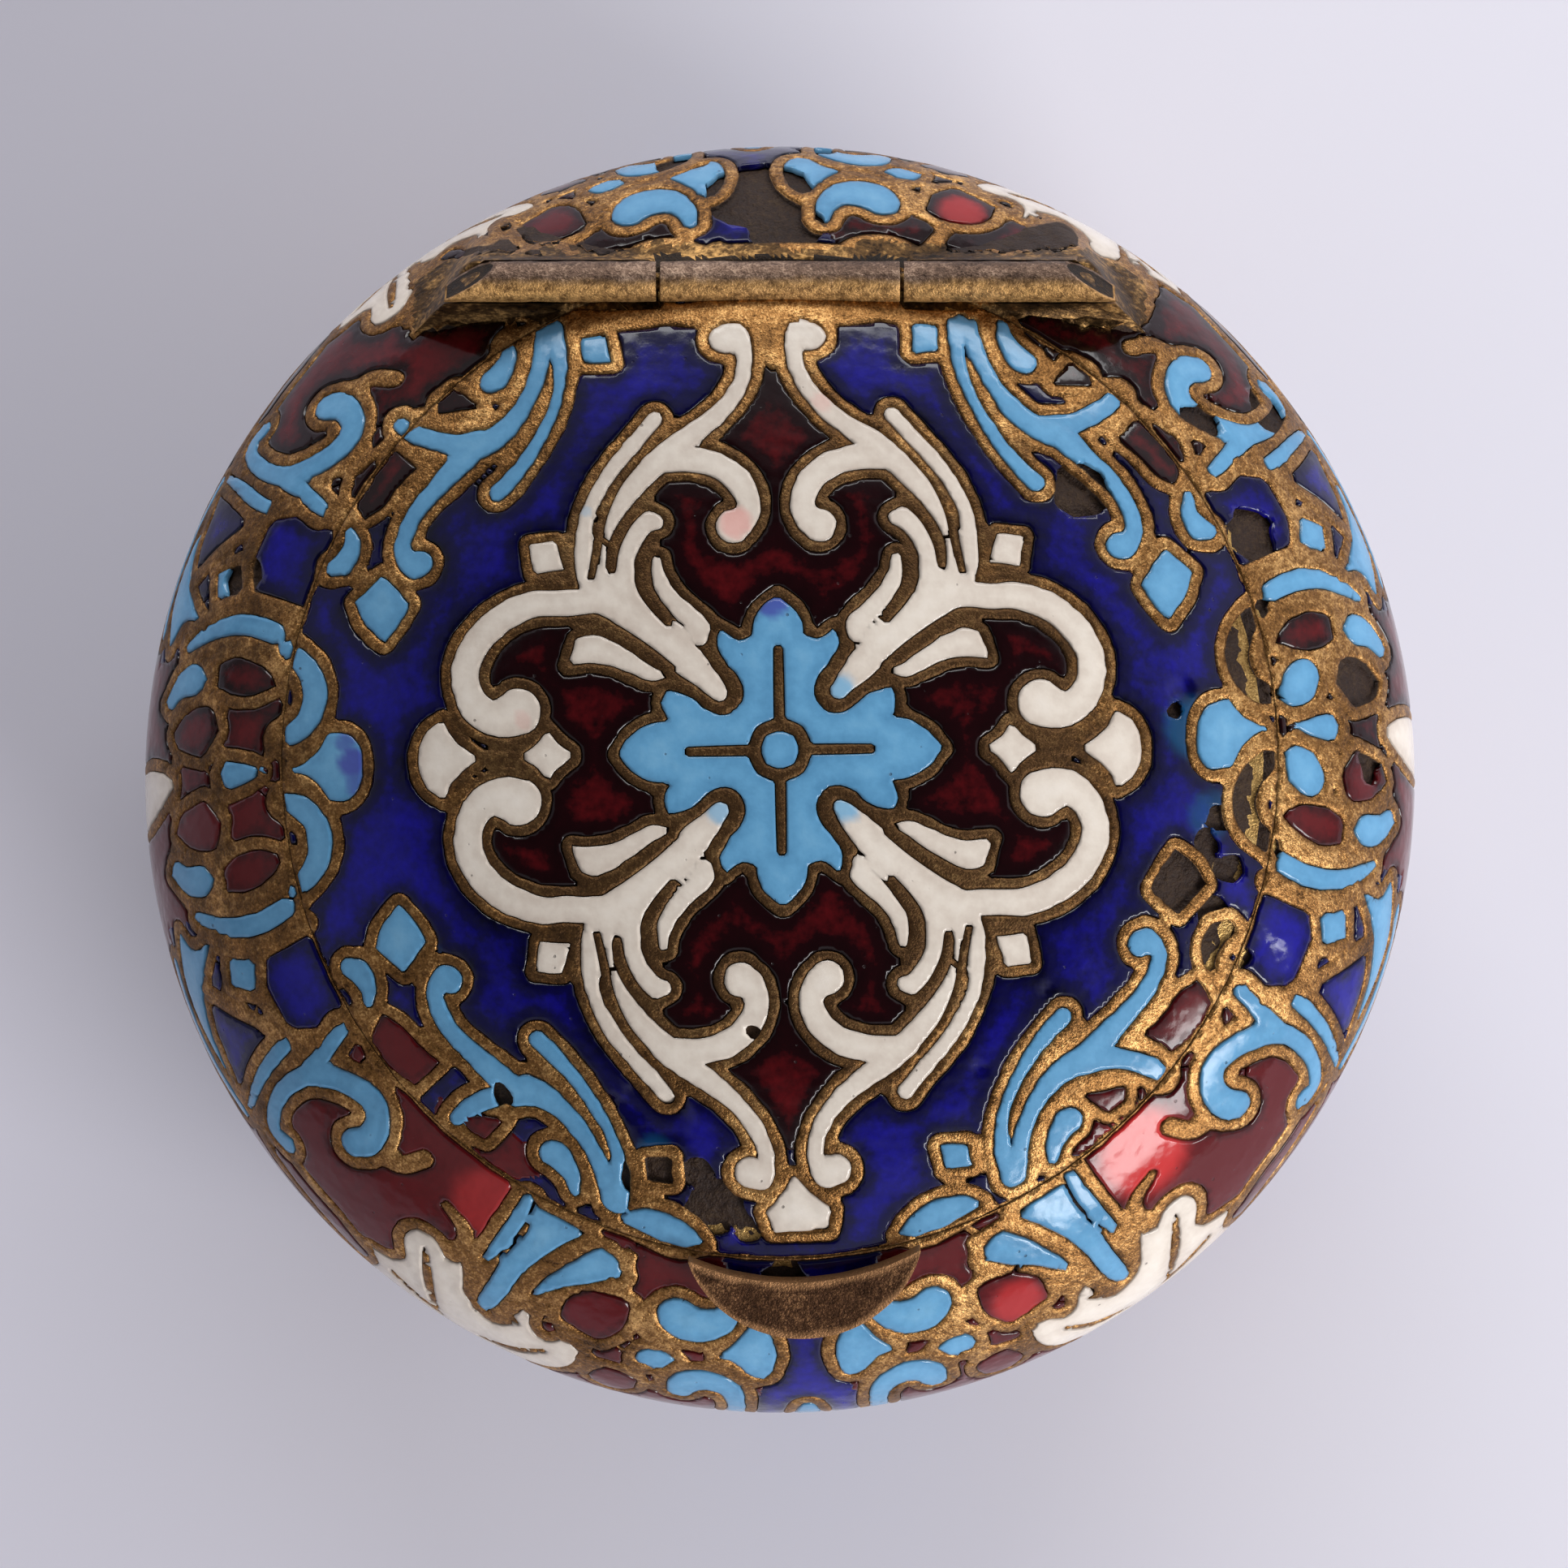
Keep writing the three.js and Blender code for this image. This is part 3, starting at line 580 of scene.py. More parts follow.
frontOnly = ("lens", "frontStud", "leaf", "longLeaf", "strip")  # cells that the rear has no room for
shapes = []  # every cell of the box: kind, colour, name, quarter, path, and which of its sides are real
for motif in (centreMotif, diagonalMotif, sideMotif, frontMotif, outerMotif):
    for kind, colour, name, points in motif:
        for quarter in quarters:
            if name in frontOnly and motif is frontMotif and quarter[1] > 0:
                continue
            if name == "petal" and quarter[0] < 0:
                continue
            path = through(points) if kind == "stroke" else outlineOf(points)
            onAxis = abs(path[:, :2]) < 0.11  # the side that a cell shares with its mirror image
            real = ~(onAxis & np.roll(onAxis, -1, axis=0)).any(1)
            shapes.append((kind, colour, name, quarter, strayed(path, quarter, name), real))
veinPaths = [strayed(through(vein), quarter, "") for vein in veins for quarter in quarters]
webPaths = [strayed(through(web), quarter, "") for web in webs for quarter in quarters]
redPaths = [strayed(np.array(ground, float), quarter, "") for ground in redGrounds for quarter in quarters]
bluePaths = [strayed(np.array(ground, float), quarter, "")
             for ground in blueGrounds for quarter in quarters]


def wander(points, size, seed):  # gentle unevenness, of the hand
    x, y = points.T
    total = np.zeros(len(points))
    chance = np.random.default_rng(seed)
    for wave in (0.7, 1.3, 2.1, 3.4):
        ax, ay = chance.normal(0, wave * 1.6, 2)
        bx, by = chance.normal(0, wave * 1.6, 2)
        first = np.sin(ax * x + ay * y + chance.uniform(0, 6))
        second = np.sin(bx * x + by * y + chance.uniform(0, 6))
        total += first * second / 2
    return total * size


def near(points, path, margin):
    low, high = path[:, :2].min(0) - margin, path[:, :2].max(0) + margin
    return np.flatnonzero(((points > low) & (points < high)).all(1))


# how far each point lies inside an enamelled cell, and the finish of that cell;
# worn is false on the lower half, whose wear the photo doesn't show
def ornament(points, worn=True):
    cells, owner = np.full(len(points), 99.0), np.full(len(points), -1)
    for number, (kind, colour, name, quarter, path, real) in enumerate(shapes):
        some = near(points, path, 1.9)
        if len(some):
            if kind == "stroke":
                d = fromStroke(points[some], path)
            else:
                d = fromOutline(points[some], path[:, :2], real)
            closer = d < cells[some]
            owner[some[closer]] = number
            cells[some] = np.minimum(cells[some], d)
    cells = cells - metalWork["grow"]
    ragged = cells + wander(points, metalWork["wander"], 3)
    reach = np.hypot(*points.T)
    enamel = np.maximum(-ragged, cells + wander(points, metalWork["wander"], 5) - metalWork["border"]
                        - 0.1 * ease(12, 18, reach) - 0.07 * ease(19, 22, reach))
    enamel = np.minimum(enamel, 1.4)
    for path in webPaths:
        some = near(points, path, 1.0)
        some = some[cells[some] > 0]
        if len(some):
            enamel[some] = np.minimum(enamel[some], fromStroke(points[some], path))
    for path in veinPaths:
        some = near(points, path, 1.0)
        if len(some):
            enamel[some] = np.minimum(enamel[some], fromStroke(points[some], path) - 0.02)
    rim = abs(reach - rimReach) - metalWork["rim"] + wander(points, 0.05, 8)
    enamel = np.minimum(enamel, rim)
    for x, y, wide, deep, side in goldPatches:
        for sign in (-1, 1):
            away = np.hypot((points[:, 0] - sign * x) / wide, (points[:, 1] * side - y) / deep) - 1
            enamel = np.minimum(enamel, np.where(worn & (cells > 0), away * min(wide, deep), 99.0))
    x, y = onShell(np.column_stack([points, np.where(worn, 0.0, -1.0) + 0 * reach]), 0.0).T[:2]
    wing = np.maximum(abs(y - hinge["setback"] - bared["back"]) - bared["halfDepth"],
                      abs(abs(x) - bared["wingMiddle"]) - bared["wingHalf"]) + wander(points, 0.22, 43)
    rear = np.maximum(abs(y - bared["rearLine"]) - bared["rearHalf"], abs(x) - bared["rearEnd"])
    away = np.minimum(wing, rear + wander(points, 0.15, 44))
    enamel = np.minimum(enamel, np.where(worn, away, 99.0))
    ground = np.zeros((2, len(points)), bool)
    for kind, paths in enumerate((redPaths, bluePaths)):
        for path in paths:
            some = near(points, path, 0.1)
            if len(some):
                ground[kind, some] |= fromOutline(points[some], path) < 0
    ground = np.where(reach < rimReach, ground[0], ~ground[1])
    names = np.where(ground, "red", "navy").astype(object)
    inCell = cells < 0.12
    kinds = np.array([s[1] for s in shapes], object)
    names[inCell] = kinds[owner[inCell]]
    bare = np.array([(s[2], s[3]) in lostCells for s in shapes])[owner]
    names[inCell & bare & worn] = "lost"
    return enamel, names


def vertPlaces(bm):
    return np.array([v.co for v in bm.verts], float).reshape(-1, 3)


def faceMiddles(bm):
    return np.array([f.calc_center_median() for f in bm.faces], float).reshape(-1, 3)


def readLayer(bm, name):
    layer = bm.verts.layers.float[name]
    return np.array([v[layer] for v in bm.verts])


def writeLayer(bm, name, values):
    layer = bm.verts.layers.float[name]
    for vert, value in zip(bm.verts, values.tolist()):
        vert[layer] = value


def vertsIn(geom):
    return [g for g in geom if isinstance(g, bmesh.types.BMVert)]


def cutAt(bm, level, name="value"):  # divides the sheet along the line where the layer reaches the level
    layer = bm.verts.layers.float[name]
    cuts = {}
    for edge in bm.edges:
        a, b = edge.verts[0][layer] - level, edge.verts[1][layer] - level
        if a * b < 0:
            cuts[edge] = min(0.97, max(0.03, a / (a - b)))
    made = bmesh.ops.bisect_edges(bm, edges=list(cuts), cuts=1, edge_percents=cuts)
    for vert in vertsIn(made["geom_split"]):
        vert[layer] = level
    bmesh.ops.connect_verts(bm, verts=[v for v in bm.verts if abs(v[layer] - level) < 1e-6])
    bmesh.ops.triangulate(bm, faces=[f for f in bm.faces if len(f.verts) > 3], quad_method="SHORT_EDGE")


def facesOver(bm, level, name="value"):
    layer = bm.verts.layers.float[name]
    return [f for f in bm.faces if sum(v[layer] for v in f.verts) > level * len(f.verts)]


# draws the points close to a cell's edge onto it, so that no face is a sliver, and keeps every point's value
def settle(bm, limit):
    bm.verts.ensure_lookup_table()
    flat = vertPlaces(bm)
    upper = flat[:, 2] > -0.001
    values = ornament(flat[:, :2], upper)[0]
    close = np.flatnonzero(abs(values) < limit * 1.3)
    step = 0.01
    spots = flat[close, :2]
    slope = []
    for side in (np.array([step, 0]), np.array([0, step])):
        rise = ornament(spots + side, upper[close])[0] - ornament(spots - side, upper[close])[0]
        slope.append(rise / (2 * step))
    slope = np.column_stack(slope)
    move = -values[close, None] * slope / np.maximum((slope ** 2).sum(1), 0.2)[:, None]
    good = (np.hypot(*move.T) < limit) & (abs(np.hypot(*spots.T) - equatorReach) > 0.01)
    moved = []
    for index, by, ok in zip(close, move, good):
        vert = bm.verts[index]
        if ok and not vert.is_boundary:
            vert.co.x += by[0]
            vert.co.y += by[1]
            moved.append(index)
    values = ornament(vertPlaces(bm)[:, :2], upper)[0]
    values[moved] = 0
    writeLayer(bm, "value", values)


# wraps a flat piece round the shell and makes its object
def dress(bm, name, finishList, body, depthOf):
    flat, values, below = vertPlaces(bm), readLayer(bm, "value"), readLayer(bm, "below")
    places = fitHinge(onShell(flat, depthOf(flat, values, below)), body, below, len(finishList) > 1)
    mesh = bpy.data.meshes.new(name)
    bm.to_mesh(mesh)
    mesh.vertices.foreach_set("co", np.ascontiguousarray(places * mm, np.float32).ravel())
    if len(finishList) > 1:
        middles = faceMiddles(bm)
        kinds = besideHinge(onShell(middles, np.zeros(len(middles))), body)
        mesh.polygons.foreach_set("material_index", kinds.astype(np.int32))
    bm.free()
    for old in ("value", "below"):
        mesh.attributes.remove(mesh.attributes[old])
    stain, wash = spotted(flat, stains.get(finishList[0], [])), spotted(flat, tintsAndLitPatches.get(finishList[0], []))
    kept = {"depth": below, "edge": np.clip(values, 0, 2), "stain": stain, "wash": wash}
    for label, numbers in kept.items():
        layer = mesh.attributes.new(label, "FLOAT", "POINT")
        layer.data.foreach_set("value", np.asarray(numbers, np.float32))
    mesh.shade_smooth()
    for finish in finishList:
        mesh.materials.append(finishes[finish])
    piece = bpy.data.objects.new(name, mesh)
    bpy.context.scene.collection.objects.link(piece)
    mesh.update()
    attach(piece, body)
    return piece


def spotted(flat, spots):
    out = np.zeros(len(flat))
    for x, y, radius, strength in spots:
        away = np.hypot(flat[:, 0] - x, flat[:, 1] - y) + wander(flat[:, :2], 0.1, 29)
        out = np.maximum(out, strength * (1 - ease(radius * 0.55, radius, away)) * (flat[:, 2] > -0.001))
    return out


oldSolder = {"start": 4.9, "end": 14.3, "halfDepth": 1.5, "rearEnd": 5, "rearLine": 19.5, "rearHalf": 0.75,
             "channelRear": 19.68}


# 1 where the old solder covers the shell, 2 in the channel behind the middle tube, which is painted
# near-black as its shadow, 0 elsewhere
def besideHinge(places, body):
    x, y, z = places.T
    if body == "lid":
        return np.zeros(len(x), int)
    ragged = wander(places[:, :2], 0.35, 45)
    beside = (abs(x) > oldSolder["start"]) & (abs(x) < oldSolder["end"])
    wing = beside & (abs(y - hinge["setback"]) < oldSolder["halfDepth"] + ragged)
    rear = (abs(x) < oldSolder["rearEnd"]) & (abs(y - oldSolder["rearLine"]) < oldSolder["rearHalf"] + ragged)
    channel = (abs(x) < oldSolder["start"]) & (y < oldSolder["channelRear"] + 0.4 * ragged)
    return np.where(z > hinge["height"] - 5, np.where(channel & rear, 2, wing | rear), 0)


# presses the body's metal down clear of the tubes, raises the solder beside the outer ones,
# and keeps the walls under the lid's rim above the seam
def fitHinge(places, body, below, isMetal):
    x, y, z = places.T.copy()
    if body == "box" and isMetal:
        radius = np.where(abs(x) < hinge["middleHalf"] + 0.08, hinge["swing"], hinge["near"])
        across = y - hinge["setback"]
        room = hinge["height"] - np.sqrt(np.maximum(radius ** 2 - across ** 2, 0))
        bank = hinge["height"] - hinge["bankDrop"] - hinge["bankSlope"] * np.maximum(abs(across) - 0.72, 0)
        bank = bank + wander(places[:, :2] * 0.9, 0.16, 37)
        share = ease(4.75, 5.3, abs(x)) * (1 - ease(12.2, 13.6, abs(x) + 0.5 * across))
        z = np.where((z > 14) & (below < 0.4), np.maximum(z, z + (bank - z) * share), z)
        z = np.where((abs(across) < radius) & (z < hinge["height"]), np.minimum(z, room), z)
    if body == "lid":
        z = np.where(below > 0.01, np.maximum(z, shell["equatorHeight"] + rimRise + 0.02), z)
    return np.column_stack([x, y, z])


def sheetFor(part):
    bm = bmesh.new()
    if part["body"] == "lid":
        size = rimReach + 0.6
        count = int(2 * size / part["grain"])
        bmesh.ops.create_grid(bm, x_segments=count, y_segments=count, size=size)
    else:
        across = int(round((equatorReach - rimReach) / part["grain"]))
        down = int(round((equatorReach - baseReach) / part["lowGrain"]))
        line = [bm.verts.new((rimReach + (equatorReach - rimReach) * i / across, 0, 0))
                for i in range(across + 1)]
        line += [bm.verts.new((equatorReach + (baseReach - equatorReach) * i / down, 0, -10.0 * i / down))
                 for i in range(1, down + 1)]
        edges = [bm.edges.new(pair) for pair in zip(line, line[1:])]
        bmesh.ops.spin(bm, geom=line + edges, cent=(0, 0, 0), axis=(0, 0, 1), angle=2 * math.pi,
                       steps=part["steps"], use_merge=True)
    bmesh.ops.triangulate(bm, faces=bm.faces[:], quad_method="SHORT_EDGE")
    for layer in ("below", "value", "trim"):
        bm.verts.layers.float.new(layer)
    return bm


def trimLid(bm):  # cuts the lid's sheet along its rim and round the hinge
    for field in (lambda flat: rimReach - 0.06 - np.hypot(flat[:, 0], flat[:, 1]), hingeField):
        writeLayer(bm, "trim", field(vertPlaces(bm)))
        cutAt(bm, 0.0, "trim")
        kept = set(facesOver(bm, 0.0, "trim"))
        bmesh.ops.delete(bm, geom=[f for f in bm.faces if f not in kept], context="FACES")


def hingeField(flat):
    x, y, z = onShell(flat, np.zeros(len(flat))).T
    radius = np.where(abs(x) < hinge["middleHalf"], hinge["hold"], hinge["swing"])
    away = np.hypot(y - hinge["setback"], z - hinge["height"]) - radius
    return np.minimum(away, hinge["setback"] - y)


def skirt(bm, depth):  # turns the open edges of a sheet down into the shell
    layer = bm.verts.layers.float["below"]
    made = bmesh.ops.extrude_edge_only(bm, edges=[e for e in bm.edges if e.is_boundary])
    for vert in vertsIn(made["geom"]):
        vert[layer] = depth


# one half of the box: its gilt metal with the cells sunk in it, and the enamel in the cells
def makeRelief(part):
    sheet = sheetFor(part)
    if part["body"] == "lid":
        trimLid(sheet)
    settle(sheet, part["grain"] * 0.28)
    metal = sheet.copy()
    cutAt(metal, 0.0)
    cutAt(metal, -metalWork["shoulder"])
    layer = metal.verts.layers.float["below"]
    wells = facesOver(metal, 0.0)
    for vert in vertsIn(bmesh.ops.extrude_face_region(metal, geom=wells)["geom"]):
        vert[layer] = metalWork["cellDepth"]
    bmesh.ops.delete(metal, geom=[f for f in wells if f.is_valid], context="FACES")
    skirt(metal, shell["skinDepth"])
    bmesh.ops.recalc_face_normals(metal, faces=metal.faces[:])

    def metalDepth(flat, values, below):
        rough = wander(flat[:, :2] * 1.7, 0.05, 19)
        top = metalWork["wear"] * np.exp(np.minimum(values, 0) / 0.07) + 0.01
        top = top + wander(flat[:, :2], 0.008, 11)
        return np.where(below > 0.01, below + np.where(below < 0.4, rough, 0), top)

    # the third finish paints near-black shade in the channel behind the middle tube
    finishList = ["gilt", "solder", "dirtAndShade"]
    pieces = [dress(metal, part["name"] + "_relief", finishList, part["body"], metalDepth)]

    cutAt(sheet, enamelWork["gap"])
    kept = set(facesOver(sheet, enamelWork["gap"]))
    bmesh.ops.delete(sheet, geom=[f for f in sheet.faces if f not in kept], context="FACES")
    cutAt(sheet, enamelWork["roundOver"])
    writeLayer(sheet, "trim", lossField(vertPlaces(sheet), part["body"]))
    cutAt(sheet, 0.0, "trim")
    spots = faceMiddles(sheet)
    colours = ornament(spots[:, :2], spots[:, 2] > -0.001)[1]
    colours[lossField(spots, part["body"]) < 0] = "lost"

    def enamelDepth(flat, values, below):
        top = enamelWork["sink"] + 0.018 * np.exp(-np.maximum(values - enamelWork["gap"], 0) / 0.07)
        top = top + wander(flat[:, :2], 0.006, 17) + spotted(flat, chips) * 0.14
        return np.where(below > 0.01, below, np.minimum(top, enamelWork["wall"] - 0.02))

    for colour in ("white", "turquoise", "navy", "red"):
        own = sheet.copy()
        bmesh.ops.delete(own, geom=[f for f, c in zip(own.faces, colours) if c != colour], context="FACES")
        if not own.faces:
            continue
        skirt(own, enamelWork["wall"])
        bmesh.ops.recalc_face_normals(own, faces=own.faces[:])
        name = part["name"] + "_" + colour
        pieces.append(dress(own, name, [colour], part["body"], enamelDepth))
    sheet.free()
    print(part["name"], {p.name: len(p.data.polygons) for p in pieces})
    return pieces


def lossField(flat, body):  # below zero where the enamel is gone
    field = np.full(len(flat), 9.0)
    ragged = wander(flat[:, :2] * 1.3, 0.16, 23)
    for x, y, radius, where in losses:
        if where == body:
            field = np.minimum(field, np.hypot(flat[:, 0] - x, flat[:, 1] - y) + ragged - radius)
    return np.where(flat[:, 2] > -0.001, field, 9.0)

lidPart = {"name": "lid", "body": "lid", "slot": "lid_enamelled_metal", "grain": 0.2}
boxPart = {"name": "box", "body": "box", "slot": "body_enamelled_metal", "grain": 0.285, "lowGrain": 0.52,
           "steps": 486}


def addObject(name, bm, finishList, body, smoothBelow=40):
    mesh = bpy.data.meshes.new(name)
    bm.to_mesh(mesh)
    bm.free()
    mesh.shade_smooth()
    mesh.set_sharp_from_angle(angle=math.radians(smoothBelow))
    for finish in finishList:
        mesh.materials.append(finishes[finish])
    piece = bpy.data.objects.new(name, mesh)
    bpy.context.scene.collection.objects.link(piece)
    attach(piece, body)
    return piece


# the plain inside of one half: the frame's own solid with its outer face drawn in under the relief
def makeCore(node, name, body):
    bm = bmesh.new()
    bm.from_mesh(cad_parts[node].data)
    bmesh.ops.remove_doubles(bm, verts=bm.verts[:], dist=1e-6)
    for vert in bm.verts:
        x, y, z = (c / mm for c in vert.co)
        rise = z - shell["equatorHeight"]
        wide = math.hypot(x, y)
        out = (wide / shell["radius"]) ** 2 + (rise / shell["halfHeight"]) ** 2
        if 0.992 < out < 1.01:
            if z < 0.02 or -0.02 < rise - rimRise < 0.15 and abs(wide - shell["rimRadius"]) < 0.4:
                shrink = (wide - shell["coreInset"]) / wide
                vert.co.x *= shrink
                vert.co.y *= shrink
            else:
                normal = Vector((x / shell["radius"] ** 2, y / shell["radius"] ** 2,
                                 rise / shell["halfHeight"] ** 2))
                vert.co -= normal.normalized() * shell["coreInset"] * mm
                if body == "lid":
                    vert.co.z = max(vert.co.z, (shell["equatorHeight"] + rimRise + shell["seamGap"]) * mm)
            if abs(x) < hinge["middleHalf"] + 0.3 and y > 17:
                vert.co.x = x * mm  # the end walls beside the middle tube stay where they are
    for face in bm.faces:
        x, y, z = face.calc_center_median() / mm
        seat = z > 14 and y > 14 and math.hypot(x, y) > 18.6
        face.material_index = int(seat or abs(z - hinge["height"]) < 1 and y > 17)
    return addObject(name, bm, ["inner", "solder"], body, 30)


for part, node in ((lidPart, "lid"), (boxPart, "box_body")):
    made = makeRelief(part)
    makeCore(node, part["name"] + "_core", part["body"])
    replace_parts(made[0], node)


# the hinge tubes
tube = {"radius": 0.8, "near": 4.8, "length": 8.2, "segments": 56, "cuts": 60, "chamfer": 0.06,
        "endPoint": 12.2, "endSlope": (1, 1.2, 0.9), "dent": 0.022}


def unevenness(place, size, seed):
    spot = np.array([[place.x / mm * 0.9 + seed, place.y / mm * 0.9 + place.z / mm * 1.7]])
    return float(wander(spot, size, seed)[0]) * mm


# one hinge tube, chamfered at its square ends and cut off on the slant at an outer end
def makeTube(name, low, high, side, body):
    bm = bmesh.new()
    bmesh.ops.create_circle(bm, cap_ends=False, radius=tube["radius"] * mm, segments=tube["segments"])
    bmesh.ops.rotate(bm, verts=bm.verts[:], cent=(0, 0, 0), matrix=Matrix.Rotation(math.pi / 2, 3, "Y"))
    bmesh.ops.translate(bm, verts=bm.verts[:], vec=(low * mm, hinge["setback"] * mm, hinge["height"] * mm))
    step = (high - low) / tube["cuts"] * mm
    ring = bm.edges[:]
    for _ in range(tube["cuts"]):
        made = bmesh.ops.extrude_edge_only(bm, edges=ring)["geom"]
        bmesh.ops.translate(bm, verts=vertsIn(made), vec=(step, 0, 0))
        ring = [g for g in made if isinstance(g, bmesh.types.BMEdge) and g.is_boundary]
    if side:
        bmesh.ops.bisect_plane(bm, geom=bm.verts[:] + bm.edges[:] + bm.faces[:], dist=1e-7,
                               plane_co=(side * tube["endPoint"] * mm, hinge["setback"] * mm,
                                         hinge["height"] * mm),
                               plane_no=(side * tube["endSlope"][0], *tube["endSlope"][1:]),
                               clear_outer=True)
    for vert in bm.verts:
        away = Vector((0, vert.co.y - hinge["setback"] * mm, vert.co.z - hinge["height"] * mm)).normalized()
        vert.co -= away * abs(unevenness(vert.co, tube["dent"], 31))
    rings = [e for e in bm.edges if e.is_boundary]
    caps = bmesh.ops.holes_fill(bm, edges=rings, sides=0)["faces"]
    bmesh.ops.bevel(bm, geom=rings, offset=tube["chamfer"] * mm, segments=2, profile=0.5, affect="EDGES",
                    material=-1, clamp_overlap=True)
    caps = [f for f in bm.faces if len(f.verts) > 12]
    bmesh.ops.inset_region(bm, faces=caps, thickness=0.14 * mm, depth=0, use_even_offset=True)
    for face in caps:
        face.material_index = 1
    if not side:
        for face in caps:
            bmesh.ops.translate(bm, verts=face.verts[:], vec=face.normal * -0.05 * mm)
    bmesh.ops.recalc_face_normals(bm, faces=bm.faces[:])
    # the end caps take the near-black second finish
    return addObject(name, bm, ["tube", "dirtAndShade"], body, 35)


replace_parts(makeTube("middle_tube", -hinge["middleHalf"], hinge["middleHalf"], 0, "lid"),
            "hinge_tube_middle")
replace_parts(makeTube("left_tube", -tube["near"] - tube["length"], -tube["near"], -1, "box"),
            "hinge_tube_left")
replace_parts(makeTube("right_tube", tube["near"], tube["near"] + tube["length"], 1, "box"),
            "hinge_tube_right")
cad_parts["hinge_pin"].data.materials.clear()
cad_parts["hinge_pin"].data.materials.append(finishes["solder"])
print("hinge made")

# the thumbpiece
thumb = {"halfWidth": 4.5, "setback": 0.4, "hollow": 1.15, "bulge": 3.5, "thickness": 0.62, "pitch": 25.0,
         "turn": 2.8, "lift": 0.15, "steps": 64, "cuts": 14, "edge": 0.17, "clear": 0.05, "dent": 0.03}


def arcRow(bm, sagitta):  # one edge of the crescent
    radius = (thumb["halfWidth"] ** 2 + sagitta ** 2) / (2 * sagitta)
    half = math.atan2(thumb["halfWidth"], radius - sagitta)
    row = []
    for i in range(thumb["steps"] + 1):
        angle = half * (2 * i / thumb["steps"] - 1) * 0.985
        back = thumb["setback"] + radius - sagitta - radius * math.cos(angle)
        row.append(bm.verts.new((radius * math.sin(angle), back, 0)))
    return [bm.edges.new(pair) for pair in zip(row, row[1:])]


def arcAt(x, sagitta):
    radius = (thumb["halfWidth"] ** 2 + sagitta ** 2) / (2 * sagitta)
    return thumb["setback"] + radius - sagitta - math.sqrt(max(radius ** 2 - x * x, 0))


def makeThumbpiece():  # a crescent of plate, its edges rounded by wear, lying on the front of the rim
    bm = bmesh.new()
    rows = arcRow(bm, thumb["hollow"]) + arcRow(bm, thumb["bulge"])
    bmesh.ops.bridge_loops(bm, edges=rows)
    across = [e for e in bm.edges if e not in rows and not e.is_boundary]
    across += [e for e in bm.edges if e.is_boundary and abs(e.verts[0].co.x - e.verts[1].co.x) < 0.05]
    bmesh.ops.subdivide_edges(bm, edges=across, cuts=thumb["cuts"], use_grid_fill=True)
    made = bmesh.ops.extrude_face_region(bm, geom=bm.faces[:], use_keep_orig=True)["geom"]
    bmesh.ops.translate(bm, verts=vertsIn(made), vec=(0, 0, thumb["thickness"]))
    bmesh.ops.recalc_face_normals(bm, faces=bm.faces[:])
    sharp = [e for e in bm.edges if len(e.link_faces) == 2 and e.calc_face_angle(0) > 1.0]
    bmesh.ops.bevel(bm, geom=sharp, offset=thumb["edge"], segments=4, profile=0.5, affect="EDGES",
                    material=-1, clamp_overlap=True)
    edgeLayer = bm.verts.layers.float.new("edge")
    for vert in bm.verts:
        rows = [arcAt(vert.co.x, thumb[key]) for key in ("hollow", "bulge")]
        vert[edgeLayer] = min(abs(vert.co.y - row) for row in rows)
        spot = np.array([[vert.co.x * 0.8, vert.co.y * 0.8 + vert.co.z]])
        vert.co.z -= abs(float(wander(spot, thumb["dent"], 41)[0]))
    tilt = Matrix.Rotation(math.radians(thumb["pitch"]), 3, "X")
    bmesh.ops.rotate(bm, verts=bm.verts[:], cent=(0, 0, 0), matrix=tilt)
    bmesh.ops.translate(bm, verts=bm.verts[:],
                        vec=(0, -shell["rimRadius"], shell["equatorHeight"] + rimRise + thumb["lift"]))
    turn = Matrix.Rotation(math.radians(thumb["turn"]), 3, "Z")
    bmesh.ops.rotate(bm, verts=bm.verts[:], cent=(0, 0, 0), matrix=turn)
    for vert in bm.verts:
        wide = math.hypot(vert.co.x, vert.co.y) / (shell["radius"] + thumb["clear"])
        if wide < 1:
            top = shell["equatorHeight"] + (shell["halfHeight"] + thumb["clear"]) * math.sqrt(1 - wide * wide)
            vert.co.z = max(vert.co.z, top)
    bmesh.ops.scale(bm, verts=bm.verts[:], vec=(mm, mm, mm))
    return addObject("thumb_crescent", bm, ["thumb"], "lid", 50)


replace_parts(makeThumbpiece(), "thumbpiece")
print("thumbpiece made")

# floor and lights
studio = {"floorSize": 0.7, "key": 9.0, "rear": 8.5, "horizon": 0.45, "middle": 1.0, "zenith": 0.09,
          "left": 0.5}


def makeFloor():
    bm = bmesh.new()
    bmesh.ops.create_grid(bm, x_segments=2, y_segments=2, size=studio["floorSize"])
    mesh = bpy.data.meshes.new("floor")
    bm.to_mesh(mesh)
    bm.free()
    f = Finish("pale floor")
    cloud = f.noise(14, 3, 0.5)
    across = f.along(0)
    # painted shade: the floor is darker on the left than on the right
    tone = f.mix(f.steps(across + cloud * 0.02, -0.03, 0.012), (0.70, 0.68, 0.77), (0.88, 0.86, 0.95))
    f.set(Base_Color=tone, Roughness=0.75)
    mesh.materials.append(f.material)
    floor = bpy.data.objects.new("floor", mesh)
    bpy.context.scene.collection.objects.link(floor)


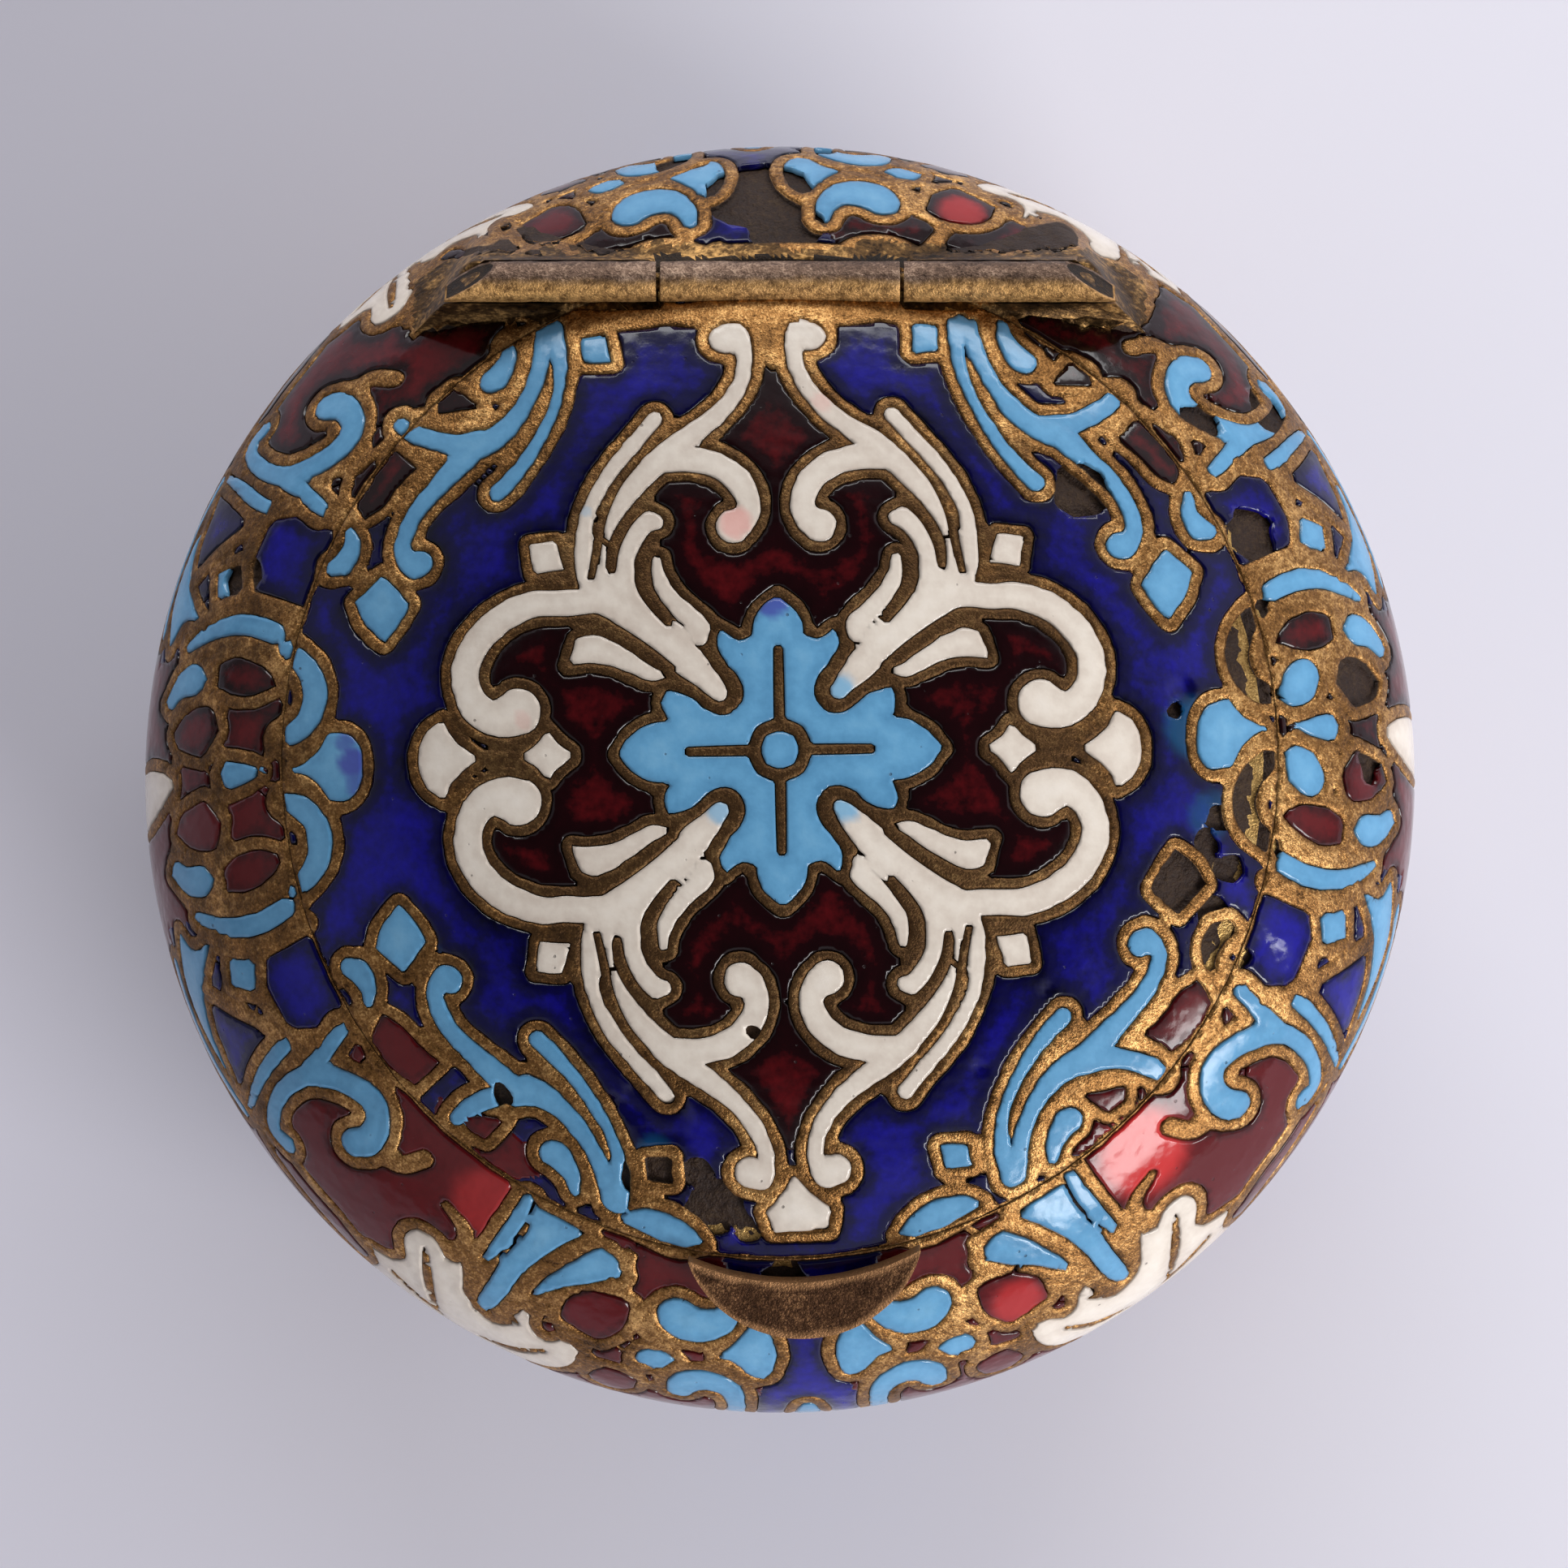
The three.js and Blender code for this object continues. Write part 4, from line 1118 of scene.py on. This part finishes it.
def makeLight(name, place, size, power, colour=(1, 1, 1)):
    data = bpy.data.lights.new(name, "AREA")
    data.shape = "RECTANGLE"
    data.size, data.size_y = size
    data.energy = power
    data.color = colour
    light = bpy.data.objects.new(name, data)
    light.location = place
    aim = Vector((0, 0, 0.01)) - Vector(place)
    light.rotation_euler = aim.to_track_quat("-Z", "Y").to_euler()
    bpy.context.scene.collection.objects.link(light)


def makeWorld():  # a dim ceiling over bright surroundings, so that the top of the lid reflects little
    world = bpy.data.worlds.new("studio")
    world.use_nodes = True
    tree = world.node_tree
    coords = tree.nodes.new("ShaderNodeTexCoord")
    parts = tree.nodes.new("ShaderNodeSeparateXYZ")
    ramp = tree.nodes.new("ShaderNodeValToRGB")
    while len(ramp.color_ramp.elements) < 4:
        ramp.color_ramp.elements.new(0.5)
    levels = [(0.05, studio["horizon"]), (0.42, studio["middle"]), (0.66, studio["middle"] * 0.75),
              (0.86, studio["zenith"])]
    for element, (place, level) in zip(ramp.color_ramp.elements, levels):
        element.position = place
        element.color = (level, level, level, 1)
    tree.links.new(coords.outputs["Generated"], parts.inputs[0])
    tree.links.new(parts.outputs["Z"], ramp.inputs["Fac"])
    across = tree.nodes.new("ShaderNodeMapRange")
    for key, value in {"From Min": -0.8, "From Max": 0.8, "To Min": studio["left"], "To Max": 1.05}.items():
        across.inputs[key].default_value = value
    both = tree.nodes.new("ShaderNodeMath")
    both.operation = "MULTIPLY"
    tree.links.new(parts.outputs["X"], across.inputs["Value"])
    tree.links.new(ramp.outputs[0], both.inputs[0])
    tree.links.new(across.outputs[0], both.inputs[1])
    background = tree.nodes["Background"]
    background.inputs["Color"].default_value = (0.96, 0.96, 1.0, 1)
    tree.links.new(both.outputs[0], background.inputs["Strength"])
    bpy.context.scene.world = world


makeFloor()
makeLight("softbox lower right", (0.75, -0.675, 0.425), (0.6, 0.3), studio["key"])
makeLight("softbox rear", (0.1, 1.0, 0.45), (1.2, 0.3), studio["rear"])
makeWorld()
bpy.context.scene.view_settings.view_transform = "Standard"
